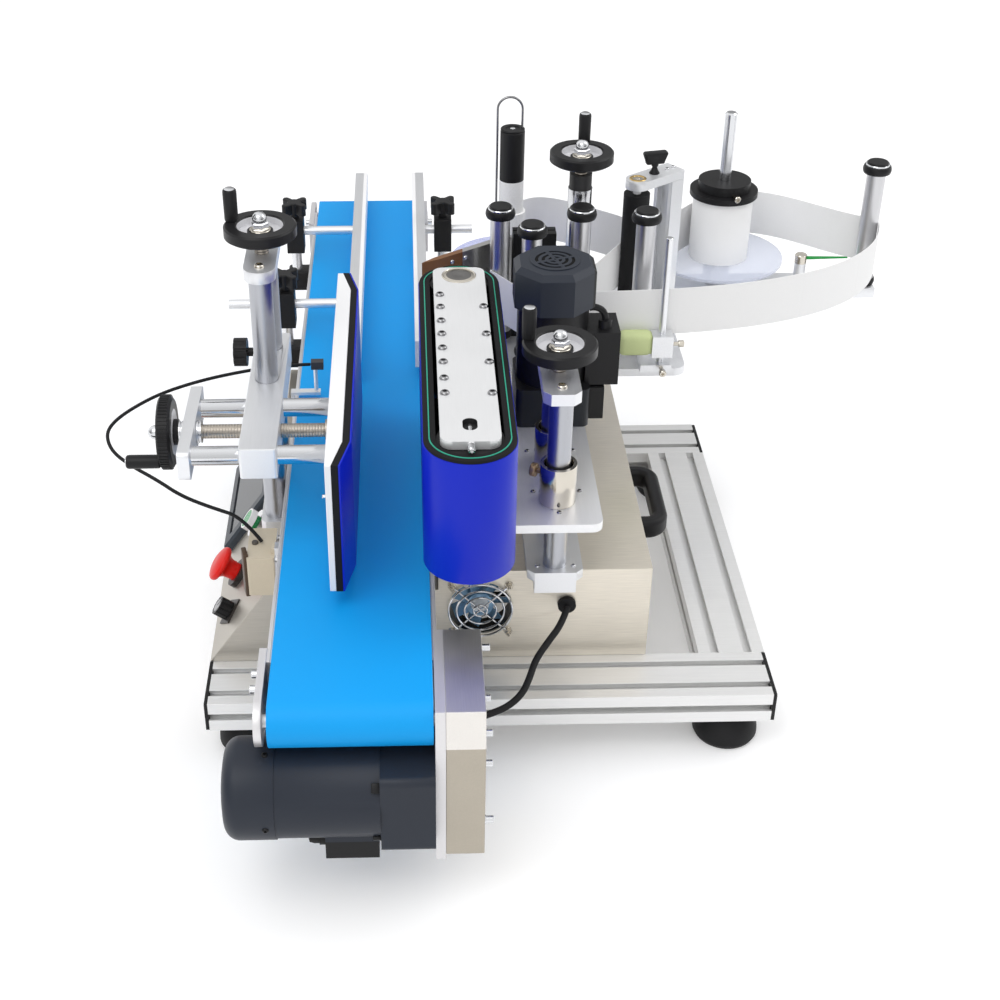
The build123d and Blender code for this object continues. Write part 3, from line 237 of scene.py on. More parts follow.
@dataclass
class Place:
    """A point on a surface: a vector in metres, and separate values in mm."""

    vector: Wire
    x: Wire
    y: Wire
    z: Wire

    def upright(self, x: float, y: float) -> Wire:
        """Distance from an upright axis."""
        return reach(self.x - x, self.y - y)

    def up_panel(self, up: float) -> Wire:
        """How far above a line across the sloping panel, along its slope."""
        (x, z), (across, rise) = PANEL_FOOT, PANEL_RISE
        return self.x * across + self.z * rise - (x * across + z * rise + up)

    def panel(self, up: float, y: float) -> Wire:
        """Distance from an axis square to the sloping panel."""
        return reach(self.up_panel(up), self.y - y)


Mask = Callable[[Place], Wire]


class Grain(Enum):
    """How the fine marks of a surface run."""

    ALONG_X = (0.04, 1.0, 1.0)
    ALONG_Y = (1.0, 0.04, 1.0)
    ALONG_Z = (1.0, 1.0, 0.04)
    EVEN = (1.0, 1.0, 1.0)


@dataclass(frozen=True)
class Zone:
    """A part of a piece with a look of its own."""

    where: Mask
    colour: Colour
    roughness: float
    metallic: float = 0.0
    alpha: float = 1.0


MADE: dict[str, bpy.types.Material] = {}


@dataclass(frozen=True)
class Finish:
    """A surface: its colour, its sheen, its fine marks, the record's slot and zones that differ."""

    name: str
    colour: Colour
    roughness: float
    metallic: float = 0.0
    grain: Grain = Grain.EVEN
    grain_scale: float = 900.0
    contrast: float = 0.10
    unevenness: float = 0.08
    relief: float = 20.0
    coat: float = 0.0
    alpha: float = 1.0
    cloud: float = 14.0
    slot: str = ""
    zones: tuple[Zone, ...] = ()

    def zone(self, where: Mask, *look: Any) -> "Finish":
        """This finish with one zone more."""
        return replace(self, zones=(*self.zones, Zone(where, *look)))

    def material(self) -> bpy.types.Material:
        """The material, made once for each name.

        Returns:
            The material.
        """
        if self.name not in MADE:
            MADE[self.name] = self.mixed()
        return MADE[self.name]

    def mixed(self) -> bpy.types.Material:
        """Build the material's graph.

        Returns:
            The new material.
        """
        graph = Graph(f"{self.name}_finish")
        at = graph.place()
        fine = graph.noise(at.vector, self.grain_scale, 4.0, self.grain.value)
        broad = graph.noise(at.vector, self.cloud)
        colour: Any = self.colour
        values: dict[str, Any] = {key: getattr(self, key) for key in ("roughness", "metallic", "alpha")}
        for zone in self.zones:
            mask = zone.where(at)
            colour = graph.blend(mask, colour, zone.colour)
            for key, now in values.items():
                wanted = getattr(zone, key)
                if isinstance(now, Wire) or wanted != now:
                    values[key] = mask * (wanted - now) + now
        mottle = (fine - 0.5) + (broad - 0.5)
        graph.set(Base_Color=graph.shade(colour, mottle * self.contrast + 1.0), Coat_Weight=self.coat,
                  Metallic=values["metallic"], Alpha=values["alpha"],
                  Specular_IOR_Level=0.5 if self.metallic else MIRROR,
                  Roughness=mottle * self.unevenness + values["roughness"])
        self.detail(graph, at, fine)
        return graph.material

    def detail(self, graph: Graph, at: Place, fine: Wire) -> None:
        """Raise the fine marks."""
        graph.bump(fine, self.relief)


@dataclass(frozen=True)
class Weave(Finish):
    """A belt with a fine cloth weave."""

    pitch: float = 1.6

    def detail(self, graph: Graph, at: Place, fine: Wire) -> None:
        """Raise warp and weft."""
        turn = 2 * math.pi / self.pitch
        graph.bump((at.x * turn).sine() * (at.y * turn).sine() * 0.5 + fine, self.relief)


@dataclass(frozen=True)
class Threaded(Finish):
    """A piece with a screw thread on one of its parts."""

    thread: Mask | None = None
    pitch: float = 2.5
    depth: float = 40.0

    def detail(self, graph: Graph, at: Place, fine: Wire) -> None:
        """Raise the thread where the screw is, and the fine marks elsewhere.

        Args:
            graph: the material's graph.
            at: the place on the piece.
            fine: the noise of the fine marks.
        """
        along = at.z if self.grain is Grain.ALONG_Z else at.x
        wave = (along * (2 * math.pi / self.pitch)).sine()
        graph.bump(wave * self.thread(at) * self.depth + fine, self.relief)


@dataclass(frozen=True)
class LabelPaper(Finish):
    """Backing paper with labels on it, one after the other."""

    step: float = 64.0
    gap: float = 3.0
    middle: float = 285.0
    half_height: float = 22.0

    def detail(self, graph: Graph, at: Place, fine: Wire) -> None:
        """Raise each label a little above the backing."""
        label = (at.x % self.step > self.gap) * (abs(at.z - self.middle) < self.half_height)
        graph.bump(label + fine * 0.2, self.relief)


BLACK: Colour = (0.012, 0.012, 0.013)
SOFT_BLACK: Colour = (0.011, 0.011, 0.012)
CHROME: Colour = (0.68, 0.69, 0.71)
NICKEL: Colour = (0.62, 0.58, 0.51)
SILVER: Colour = (0.80, 0.81, 0.83)
WHITE: Colour = (0.84, 0.84, 0.85)
PALE: Colour = (0.86, 0.86, 0.86)
DARK_STEEL: Colour = (0.30, 0.30, 0.31)
WORN_STEEL: Colour = (0.42, 0.38, 0.33)
SLATE_GREY: Colour = (0.025, 0.030, 0.042)

ALUMINIUM = Finish("satin_aluminium", SILVER, 0.38, 0.8, Grain.ALONG_Y, 900, 0.08, 0.10, 10,
                   slot="machined_aluminium")
BRIGHT = Finish("bright_steel", CHROME, 0.16, 1.0, Grain.EVEN, 900, 0.06, 0.08, 2, slot="chrome_rod")
NICKELLED = Finish("nickel_plate", NICKEL, 0.16, 1.0, Grain.EVEN, 500, 0.06, 0.06, 2, slot="nickel")
SCREW = replace(BRIGHT, name="screw_steel", colour=(0.34, 0.34, 0.35), roughness=0.24)
PLASTIC = Finish("black_moulding", BLACK, 0.40, 0.0, Grain.EVEN, 1600, 0.25, 0.10, 40,
                 slot="black_plastic")
RUBBER = Finish("soft_black_rubber", SOFT_BLACK, 0.60, 0.0, Grain.EVEN, 1200, 0.30, 0.12, 30,
                slot="black_rubber")
SPONGE = Finish("black_sponge", (0.009, 0.009, 0.010), 0.80, 0.0, Grain.EVEN, 1500, 0.60, 0.10, 250,
                slot="blue_foam_belt")
SLATE = Finish("slate_enamel", SLATE_GREY, 0.40, 0.0, Grain.EVEN, 1400, 0.14, 0.10, 40, slot="slate_paint")
AZURE = Weave("azure_cloth", (0.002, 0.340, 0.82), 0.50, contrast=0.05, relief=30, slot="azure_belt")
BLUE_SKIN = Finish("ultramarine_skin", (0.005, 0.020, 0.50), 0.36, contrast=0.05, grain_scale=1400,
                   relief=30, slot="blue_foam_belt")
GREEN_CORD = Finish("green_cord", (0.03, 0.33, 0.22), 0.5, slot="green_strap")
STRAP_GREEN = Finish("green_band", (0.012, 0.30, 0.055), 0.5, grain_scale=1500, relief=50,
                     slot="green_strap")
FELT = Finish("pale_felt", (0.62, 0.70, 0.36), 0.75, contrast=0.2, grain_scale=1800, relief=100,
              slot="green_strap")
BRASS = Finish("brass_bush_metal", (0.62, 0.45, 0.20), 0.25, 1.0, slot="brass_bush")
BRONZE = Finish("bronze_knob", (0.30, 0.21, 0.13), 0.35, 0.8, slot="nickel")
BROWN = Finish("brown_flap", (0.085, 0.055, 0.035), 0.42, contrast=0.12, slot="brown_plastic")
SEAL = Finish("bearing_seal", (0.16, 0.155, 0.15), 0.42, 0.6, contrast=0.3, slot="black_rubber")
PORT = Finish("port_moulding", (0.10, 0.09, 0.08), 0.45, slot="black_plastic")

ROLLERS: Sequence[tuple[str, float, float, float]] = (
    ("a", -37.4, 42.1, 236.4), ("b", -10.0, -1.2, 236.4), ("c", 40.1, 38.0, 236.4),
    ("d", 101.1, 28.0, 236.4), ("e", 351.0, 145.0, 240.4),
)


@dataclass(frozen=True)
class Wheel:
    """A hand-wheel: where its hub sits, which way it faces and where its grip ends."""

    name: str
    hub: Point
    facing: Point
    grip: Point

    def web(self, at: Place) -> Wire:
        """The bright ring between hub and rim.

        Args:
            at: the place on the wheel.

        Returns:
            1 on the ring.
        """
        x, y, z = self.hub
        away = at.upright(x, y) if self.facing == UP else reach(at.y - y, at.z - z)
        return (away < 19.6) * (away > 11.1)

    def screw(self, at: Place) -> Wire:
        """The screw behind the wheel."""
        x, _, z = self.hub
        return at.z < z - 0.1 if self.facing == UP else at.x > x + 0.1

    def finish(self) -> Finish:
        """Black, with a bright web and a threaded screw.

        Returns:
            The finish.
        """
        grain = Grain.ALONG_Z if self.facing == UP else Grain.ALONG_X
        black = Threaded(f"{self.name}_wheel_moulding", BLACK, 0.36, 0.0, grain, 1400, relief=4,
                         thread=self.screw)
        return black.zone(self.web, (0.72, 0.72, 0.74), 0.45, 0.3).zone(self.screw, WORN_STEEL, 0.32, 1.0)


WHEELS: Sequence[Wheel] = (
    Wheel("left", (-250.7, -123.0, 413.0), UP, (-24.43, 8.89, 43.2)),
    Wheel("right", (-3.5, -227.0, 352.5), UP, (-25.11, 6.73, 43.2)),
    Wheel("label", (43.0, 87.0, 395.0), UP, (4.51, 25.6, 43.2)),
    Wheel("feed", (-321.0, -217.5, 282.0), LEFT, (-43.2, -19.92, -16.71)),
)


def plain_finishes() -> dict[str, Finish]:
    """The finish of each CAD node that looks the same all over.

    Returns:
        Finish by node name.
    """
    groups = (
        (ALUMINIUM, "lift_brackets pad_block drive_roller tail_roller"),
        (PLASTIC, "beam_end_caps pull_handle pad_knob clamp_knob_1 clamp_knob_2 clamp_knob_3"),
        (RUBBER, "cable_grommet timing_belt feed_roller fibre_cable motor_cable"),
        (RUBBER, "side_drive_roller side_idler_roller"),
        (SPONGE, "side_belt pad_foam"),
        (AZURE, "conveyor_belt"),
        (Finish("beam_anodising", (0.82, 0.82, 0.815), 0.40, 0.65, Grain.ALONG_X, 700, 0.10, 0.10, 10),
         "base_beams"),
        (Finish("satin_post", (0.44, 0.45, 0.48), 0.30, 1.0, Grain.ALONG_Z, 800, 0.10, 0.10, 4),
         "lift_posts"),
        (Finish("polished_rod", CHROME, 0.12, 1.0, Grain.ALONG_Z, 500, 0.04, 0.05, 2), "motor_pulley"),
        (Finish("rail_metal", (0.72, 0.71, 0.72), 0.40, 0.7, Grain.ALONG_Y, 900, 0.10, 0.12),
         "conveyor_frame"),
        (Finish("red_cap", (0.74, 0.012, 0.007), 0.34, coat=0.1, contrast=0.08), "stop_button"),
        (Finish("white_moulding", WHITE, 0.42, contrast=0.03), "pad_plate"),
        (LabelPaper("label_paper", PALE, 0.55, contrast=0.03, grain_scale=500, relief=100), "label_web"),
        (Finish("clear_sheet", (0.70, 0.74, 0.86), 0.30, alpha=0.55, contrast=0.08), "unwind_disc"),
    )
    return {node: finish for finish, nodes in groups for node in nodes.split()}


def zoned_finishes() -> dict[str, Finish]:
    """The finish of each CAD node that has zones.

    Returns:
        Finish by node name.
    """
    looks = {
        "housing": Finish("housing_sheet", (0.74, 0.69, 0.60), 0.38, 0.85, Grain.ALONG_X, 1000, 0.32, 0.18,
                          10, cloud=9.0)
        # painted shade: the sloping panel left of x -246.8 is a darker copy of the same housing sheet
        .zone(lambda at: at.x < -246.8, (0.50, 0.47, 0.42), 0.42, 0.85),
        "drive_cover": Finish("cover_sheet", (0.70, 0.685, 0.66), 0.42, 1.0, Grain.ALONG_Y, 1000, 0.16, 0.06,
                              10, cloud=20.0)
        # painted highlight: the chamfer strip is a lighter, glossier copy of the cover sheet
        .zone(lambda at: (at.z < 193.6) * (at.y < -478.5), (0.74, 0.715, 0.68), 0.24, 1.0)
        # painted shade: the front face below z 163.8 is a darker, browner copy of the cover sheet
        .zone(lambda at: at.z < 163.8, (0.44, 0.40, 0.335), 0.40, 0.9),
        "belt_plates": Finish("plate_metal", (0.86, 0.865, 0.875), 0.42, 0.6, Grain.ALONG_Y, 900, 0.06, 0.10,
                              10)
        .zone(lambda at: (at.z < 358.6) * (at.z > 352.3) * (abs(at.x + 81.2) < 5.9)
              * (abs(at.y + 341.5) < 9.6), BLACK, 0.5)
        .zone(lambda at: at.z < 351.8, (0.02, 0.02, 0.022), 0.5),
        "label_base": Finish("head_metal", SILVER, 0.40, 0.6, Grain.ALONG_X, 900, 0.08, 0.10)
        .zone(lambda at: (at.upright(43.0, 87.0) < 12.4) * (at.z > 231.0), CHROME, 0.15, 1.0)
        .zone(lambda at: (at.upright(43.0, 87.0) < 11.6) * (at.z > 372.9), BLACK, 0.40),
        "rubber_feet": Finish("foot_rubber", SOFT_BLACK, 0.55, contrast=0.3)
        .zone(lambda at: at.z > 33.1, CHROME, 0.2, 1.0),
        "screen_bezel": Finish("screen_frame", (0.045, 0.054, 0.066), 0.40)
        .zone(lambda at: (abs(at.up_panel(46.6)) < 30.0) * (abs(at.y + 20.0) < 62.0),
              (0.030, 0.034, 0.040), 0.06),
        "control_collars": Finish("control_collar", (0.030, 0.026, 0.024), 0.35, contrast=0.3)
        .zone(lambda at: abs(at.y + 125.0) < 15.0, (0.72, 0.72, 0.73), 0.20, 1.0),
        "start_button": Finish("green_cap", WHITE, 0.35, coat=0.3, contrast=0.06)
        .zone(lambda at: at.panel(70.0, -125.0) < 8.8, (0.012, 0.30, 0.085), 0.28),
        "photo_sensor": Finish("sensor_case", (0.60, 0.53, 0.41), 0.45, contrast=0.08)
        .zone(lambda at: at.x > -244.1, SILVER, 0.3, 0.9)
        .zone(lambda at: at.y > -100.0, SILVER, 0.4, 0.6)
        .zone(lambda at: (at.y > -100.0) * (at.z > 227.0), (0.05, 0.05, 0.055), 0.4),
        "fan_frame": Finish("fan_case", BLACK, 0.45, contrast=0.25)
        .zone(lambda at: at.y < -255.5, CHROME, 0.15, 1.0),
        # painted reflection: the blades' blue colour and strong blotches stand in for reflected light
        "fan_rotor": Finish("fan_blades", (0.24, 0.42, 0.62), 0.22, 0.3, contrast=0.5, cloud=90.0)
        .zone(lambda at: reach(at.x + 67.0, at.z - 120.0) < 8.0, (0.70, 0.74, 0.78), 0.25, 0.3),
        "conveyor_motor": Finish("motor_enamel", SLATE_GREY, 0.40, grain_scale=1400, contrast=0.14, relief=40)
        .zone(lambda at: at.z < 67.5, BLACK, 0.42),
        "rail_clamps": Finish("clamp_moulding", BLACK, 0.42, contrast=0.25)
        .zone(lambda at: at.z < 198.4, SILVER, 0.25, 0.95),
        "speed_dial": Finish("dial_moulding", BLACK, 0.30, contrast=0.2)
        .zone(lambda at: at.panel(28.0, -213.0) < 6.0, DARK_STEEL, 0.25, 0.9),
        "carriage_plate": Finish("carriage_metal", (0.88, 0.885, 0.89), 0.40, 0.65, Grain.ALONG_Y, 900, 0.08,
                                 0.10)
        .zone(lambda at: at.z > 234.1, NICKEL, 0.14, 1.0),
        "side_motor": Finish("side_motor_enamel", SLATE_GREY, 0.38, grain_scale=1400, contrast=0.14,
                             relief=40)
        .zone(lambda at: (at.x > 35.2) | (at.z < 345.0), BLACK, 0.40)
        .zone(lambda at: (at.z < 272.0) * (at.x < 35.2), (0.020, 0.023, 0.028), 0.40)
        # painted shade: the cap top under the vent grid is near-black, standing in for the dark inside of the
        # vents
        .zone(lambda at: (at.z > 379.5) * (at.upright(2.0, -104.0) < 21.5), (0.003, 0.003, 0.003), 0.8),
        "pad_rods": Finish("pad_rod_metal", CHROME, 0.14, 1.0, Grain.ALONG_X, 600, 0.06, 0.06)
        .zone(lambda at: at.x < -305.9, SILVER, 0.36, 0.85),
        "left_guide_rail": Finish("left_guide_metal", SILVER, 0.34, 0.85, Grain.ALONG_Y)
        .zone(lambda at: at.x > -179.0, WHITE, 0.45),
        "right_guide_rail": Finish("right_guide_metal", SILVER, 0.34, 0.85, Grain.ALONG_Y)
        .zone(lambda at: at.x < -116.5, WHITE, 0.45),
        "label_eye": Finish("eye_moulding", BLACK, 0.40, contrast=0.25)
        .zone(lambda at: at.x > 60.0, SILVER, 0.32, 0.85)
        .zone(lambda at: (at.x > 60.0) * (at.x < 105.9) * (at.z > 248.0), (0.66, 0.74, 0.36), 0.6),
        "peel_plate": Finish("peel_metal", (0.60, 0.59, 0.58), 0.30, 1.0, Grain.ALONG_Z)
        .zone(lambda at: at.x < -73.0, (0.20, 0.085, 0.030), 0.4),
        "unwind_core": Finish("core_moulding", (0.92, 0.92, 0.92), 0.45, contrast=0.03)
        .zone(lambda at: at.z > 328.4, BLACK, 0.42)
        .zone(lambda at: at.z > 344.8, CHROME, 0.16, 1.0),
        "rewinder": Finish("rewind_moulding", BLACK, 0.42, contrast=0.25)
        .zone(lambda at: at.z < 351.0, PALE, 0.6)
        .zone(lambda at: at.z < 260.7, (0.50, 0.54, 0.84), 0.30, 0.0, 0.6)
        .zone(lambda at: (at.z > 404.2) | (at.upright(-19.0, 165.0) > 12.9) * (at.z > 318.0),
              DARK_STEEL, 0.25, 1.0),
    }
    tube = Finish("roller", (0.62, 0.62, 0.635), 0.36, 1.0, Grain.ALONG_Z, 700, 0.08, 0.07, 3)
    for letter, _, _, low in ROLLERS:
        looks[f"guide_roller_{letter}"] = replace(tube, name=f"roller_{letter}_metal").zone(
            lambda at, low=low: (at.z > 363.0) | (at.z < low + 8.0), BLACK, 0.42)
    for wheel in WHEELS:
        looks[f"{wheel.name}_hand_wheel"] = wheel.finish()
    return looks


def spot(x: float, y: float, z: float, facing: Point = UP, turn: float = 0.0) -> Matrix:
    """Where a shape goes.

    Args:
        x: place in mm.
        y: place in mm.
        z: place in mm.
        facing: the way that the shape's own Z points.
        turn: turn about that way, in degrees.

    Returns:
        The placing matrix.
    """
    aim = Vector(UP).rotation_difference(Vector(facing)).to_matrix().to_4x4()
    return Matrix.Translation(Vector((x, y, z)) * MM) @ aim @ Matrix.Rotation(math.radians(turn), 4, "Z")


class Bench:
    """The modelling bench, where shapes are added, worked, copied to their places and dressed."""

    @staticmethod
    def mode(name: str) -> None:
        """Switch to edit or object mode."""
        bpy.ops.object.mode_set(mode=name)

    @staticmethod
    def clear() -> None:
        """Leave nothing selected."""
        bpy.ops.object.select_all(action="DESELECT")

    @staticmethod
    def apply() -> None:
        """Work the place, turn and scale of what is selected into its mesh."""
        bpy.ops.object.transform_apply(location=True, rotation=True, scale=True)

    @classmethod
    def pick(cls, shape: Thing, where: Callable[[Vector], bool]) -> None:
        """Select, in edit mode, only the vertices that lie where asked; places are in mm.

        Args:
            shape: the shape being edited.
            where: says of a vertex, in mm, whether to select it.
        """
        bpy.ops.mesh.select_mode(type="VERT")
        bpy.ops.mesh.select_all(action="DESELECT")
        cls.mode("OBJECT")
        for corner in shape.data.vertices:
            corner.select = where(corner.co / MM)
        cls.mode("EDIT")

    @classmethod
    def turned(cls, stations: Sequence[Station], sides: int = 32, ring: bool = False) -> Thing:
        """A turned shape on the Z axis.

        Args:
            stations: radius and height in mm of each edge along the profile.
            sides: how many flats make the round; 6 makes a hexagon.
            ring: whether the profile closes round a bore.

        Returns:
            The shape.
        """
        cls.clear()
        radius, height = stations[0]
        bpy.ops.mesh.primitive_circle_add(vertices=sides, radius=radius * MM, location=(0, 0, height * MM),
                                          fill_type="NOTHING" if ring else "NGON")
        shape = bpy.context.object
        cls.apply()
        cls.mode("EDIT")
        bpy.ops.mesh.select_all(action="SELECT")
        path = [*stations, stations[0]] if ring else stations
        for (near, low), (far, high) in zip(path, path[1:]):
            bpy.ops.mesh.extrude_region_move(TRANSFORM_OT_translate={"value": (0, 0, (high - low) * MM)})
            share = far / near
            bpy.ops.transform.resize(value=(share, share, 1), center_override=(0, 0, high * MM))
        bpy.ops.mesh.select_all(action="SELECT")
        bpy.ops.mesh.remove_doubles(threshold=2 * MICRON)
        bpy.ops.mesh.normals_make_consistent(inside=False)
        cls.mode("OBJECT")
        return shape

    @classmethod
    def loop(cls, stations: Sequence[Station], span: float) -> Thing:
        """A belt loop: a ring drawn out along Y between two rounds.

        Args:
            stations: radius and height in mm along the closed profile.
            span: distance in mm between the rounds' centres.

        Returns:
            The shape, with its near round on the Z axis.
        """
        shape = cls.turned(stations, 66, ring=True)
        cls.mode("EDIT")
        cls.pick(shape, lambda at: at.y > 0)
        bpy.ops.transform.translate(value=(0, span * MM, 0))
        cls.mode("OBJECT")
        return shape

    @classmethod
    def block(cls, size: Point, bevel: float = 0.5, segments: int = 2) -> Thing:
        """A block with rounded edges, standing on the middle of its foot.

        Args:
            size: in mm.
            bevel: edge radius in mm.
            segments: steps in the round.

        Returns:
            The shape.
        """
        cls.clear()
        bpy.ops.mesh.primitive_cube_add(size=1.0, location=(0, 0, size[2] * MM / 2))
        shape = bpy.context.object
        shape.scale = Vector(size) * MM
        cls.apply()
        cls.mode("EDIT")
        bpy.ops.mesh.select_all(action="SELECT")
        bpy.ops.mesh.bevel(offset=bevel * MM, segments=segments, affect="EDGES")
        cls.mode("OBJECT")
        return shape

    @classmethod
    def squeeze(cls, shape: Thing, where: Callable[[Vector], bool], share: Point) -> Thing:
        """Scale one end of a shape about its foot, and give the shape back.

        Args:
            shape: the shape.
            where: says of a vertex, in mm, whether it is at that end.
            share: scale along each axis.

        Returns:
            The shape.
        """
        cls.mode("EDIT")
        cls.pick(shape, where)
        bpy.ops.transform.resize(value=share, center_override=(0, 0, 0))
        cls.mode("OBJECT")
        return shape

    @classmethod
    def cut(cls, shape: Thing, tool: Thing) -> Thing:
        """Cut a tool's shape out of another and throw the tool away.

        Args:
            shape: what is cut.
            tool: what is cut out of it.

        Returns:
            The cut shape.
        """
        modifier = shape.modifiers.new("cut", "BOOLEAN")
        modifier.operation = "DIFFERENCE"
        modifier.object = tool
        cls.clear()
        bpy.context.view_layer.objects.active = shape
        bpy.ops.object.modifier_apply(modifier="cut")
        bpy.data.objects.remove(tool)
        return shape

    @classmethod
    def weld(cls, *shapes: Thing) -> Thing:
        """Join shapes into the first.

        Args:
            shapes: what is joined.

        Returns:
            The joined shape.
        """
        cls.clear()
        for shape in shapes:
            shape.select_set(True)
        bpy.context.view_layer.objects.active = shapes[0]
        bpy.ops.object.join()
        return shapes[0]

    @classmethod
    def put(cls, name: str, shape: Thing, spots: Matrix | Iterable[Matrix], finish: Finish,
            body: str = "base", slot: str = "", keep: bool = False) -> Thing:
        """Copy a shape to its places, join the copies and dress them.

        Args:
            name: the piece's name.
            shape: the shape to copy.
            spots: where each copy goes, or the one place.
            finish: its finish.
            body: the body it rides on.
            slot: the record's material slot, if it isn't the finish's own; not used.
            keep: whether the shape is used again.

        Returns:
            The piece.
        """
        cls.clear()
        copies = []
        for place in [spots] if isinstance(spots, Matrix) else spots:
            copy = shape.copy()
            copy.data = shape.data.copy()
            bpy.context.collection.objects.link(copy)
            copy.matrix_world = place
            copies.append(copy)
        for copy in copies:
            copy.select_set(True)
        bpy.context.view_layer.objects.active = copies[0]
        cls.apply()
        piece = cls.weld(*copies)
        piece.name = name
        piece.data.name = name
        piece.data.materials.clear()
        piece.data.materials.append(finish.material())
        bpy.ops.object.shade_smooth_by_angle(angle=SMOOTH_ANGLE)
        slot = slot or finish.slot
        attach(piece, body)
        LOG.info("%s on %s", name, body)
        if not keep:
            bpy.data.objects.remove(shape)
        return piece


class Fasteners:
    """Screws and nuts, each modelled once, standing on its seat and pointing up Z."""

    @staticmethod
    def button(radius: float, height: float) -> Thing:
        """A domed head with a hexagon socket.

        Args:
            radius: of the head, in mm.
            height: of the head, in mm.

        Returns:
            The screw.
        """
        head = Bench.turned([(radius, -0.3), (radius, 0.2 * height), (0.9 * radius, 0.6 * height),
                             (0.76 * radius, 0.9 * height), (0.6 * radius, height)], 28)
        return Bench.cut(head, Bench.turned([(0.5 * radius, 0.15 * height), (0.5 * radius, 2 * height)], 6))

    @staticmethod
    def cap(radius: float, height: float) -> Thing:
        """A tall round head with a hexagon socket and a washer.

        Args:
            radius: of the head, in mm.
            height: of the head, in mm.

        Returns:
            The screw.
        """
        head = Bench.turned([(1.25 * radius, -0.3), (1.25 * radius, 0.7), (radius, 0.8),
                             (radius, height - 0.5), (radius - 0.5, height)], 28)
        return Bench.cut(head, Bench.turned([(0.55 * radius, 0.5 * height), (0.55 * radius, 2 * height)], 6))

    @staticmethod
    def bolt(radius: float, height: float) -> Thing:
        """A hexagon head on a washer, with the end of its thread.

        Args:
            radius: of the head, in mm.
            height: of the head, in mm.

        Returns:
            The screw.
        """
        washer = Bench.turned([(1.3 * radius, -0.3), (1.3 * radius, 0.7), (1.2 * radius, 1.0)], 28)
        head = Bench.turned([(radius, 0.9), (radius, height - 0.6), (0.85 * radius, height)], 6)
        tip = Bench.turned([(0.5 * radius, height - 0.4), (0.5 * radius, height + 2.2),
                            (0.4 * radius, height + 2.7)], 20)
        return Bench.weld(washer, head, tip)

    @staticmethod
    def acorn(radius: float) -> Thing:
        """A domed nut with a hexagon foot.

        Args:
            radius: of the foot's corners, in mm.

        Returns:
            The nut.
        """
        foot = Bench.turned([(0.95 * radius, 0), (radius, 0.5), (radius, 5.6), (0.88 * radius, 6.6)], 6)
        dome = Bench.turned([(0.8 * radius, 6.2), (0.8 * radius, 9.6), (0.72 * radius, 11.9),
                             (0.52 * radius, 13.7), (0.26 * radius, 14.7), (0.03, 15.0)], 28)
        return Bench.weld(foot, dome)


@dataclass
class Cables:
    """The two cables that hang free."""

    fibre: Sequence[Point] = (
        (-223, -8, 232), (-248, -18.5, 237), (-285, -36, 240.5), (-322, -55, 242), (-357.5, -79, 242),
        (-382, -104.5, 240), (-396, -126, 238), (-399.4, -143, 235), (-391.5, -163, 230), (-373, -179, 225),
        (-348.7, -195, 220), (-326, -213.5, 215), (-298, -227, 211), (-272, -234.5, 206), (-256, -241, 184.6),
    )
    lead: Sequence[Point] = (
        (9.1, -262.5, 124), (3, -279, 119), (-10, -296, 113), (-22, -312, 106), (-28, -328, 99),
        (-35, -342, 93.5), (-48, -354, 90), (-64, -363, 90), (-79, -372, 92.5), (-86, -378, 95),
    )

    def run(self, name: str, points: Sequence[Point], radius: float) -> Thing:
        """One smooth cable.

        Args:
            name: the piece's name.
            points: the route in mm.
            radius: in mm.

        Returns:
            The curve object.
        """
        curve = bpy.data.curves.new(name, "CURVE")
        curve.dimensions = "3D"
        curve.bevel_depth = radius * MM
        curve.bevel_resolution = 6
        curve.use_fill_caps = True
        curve.resolution_u = 10
        spline = curve.splines.new("NURBS")
        spline.points.add(len(points) - 1)
        for knot, point in zip(spline.points, points):
            knot.co = (*(Vector(point) * MM), 1.0)
        spline.order_u = 3
        spline.use_endpoint_u = True
        piece = bpy.data.objects.new(name, curve)
        bpy.context.collection.objects.link(piece)
        curve.materials.append(RUBBER.material())
        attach(piece, "base")
        LOG.info("%s hung", name)
        return piece

    def build(self) -> None:
        fibre = self.run("fibre_lead", self.fibre, 1.6)
        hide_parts("fibre_cable")
        lead = self.run("motor_lead", self.lead, 3.0)
        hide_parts("motor_cable")


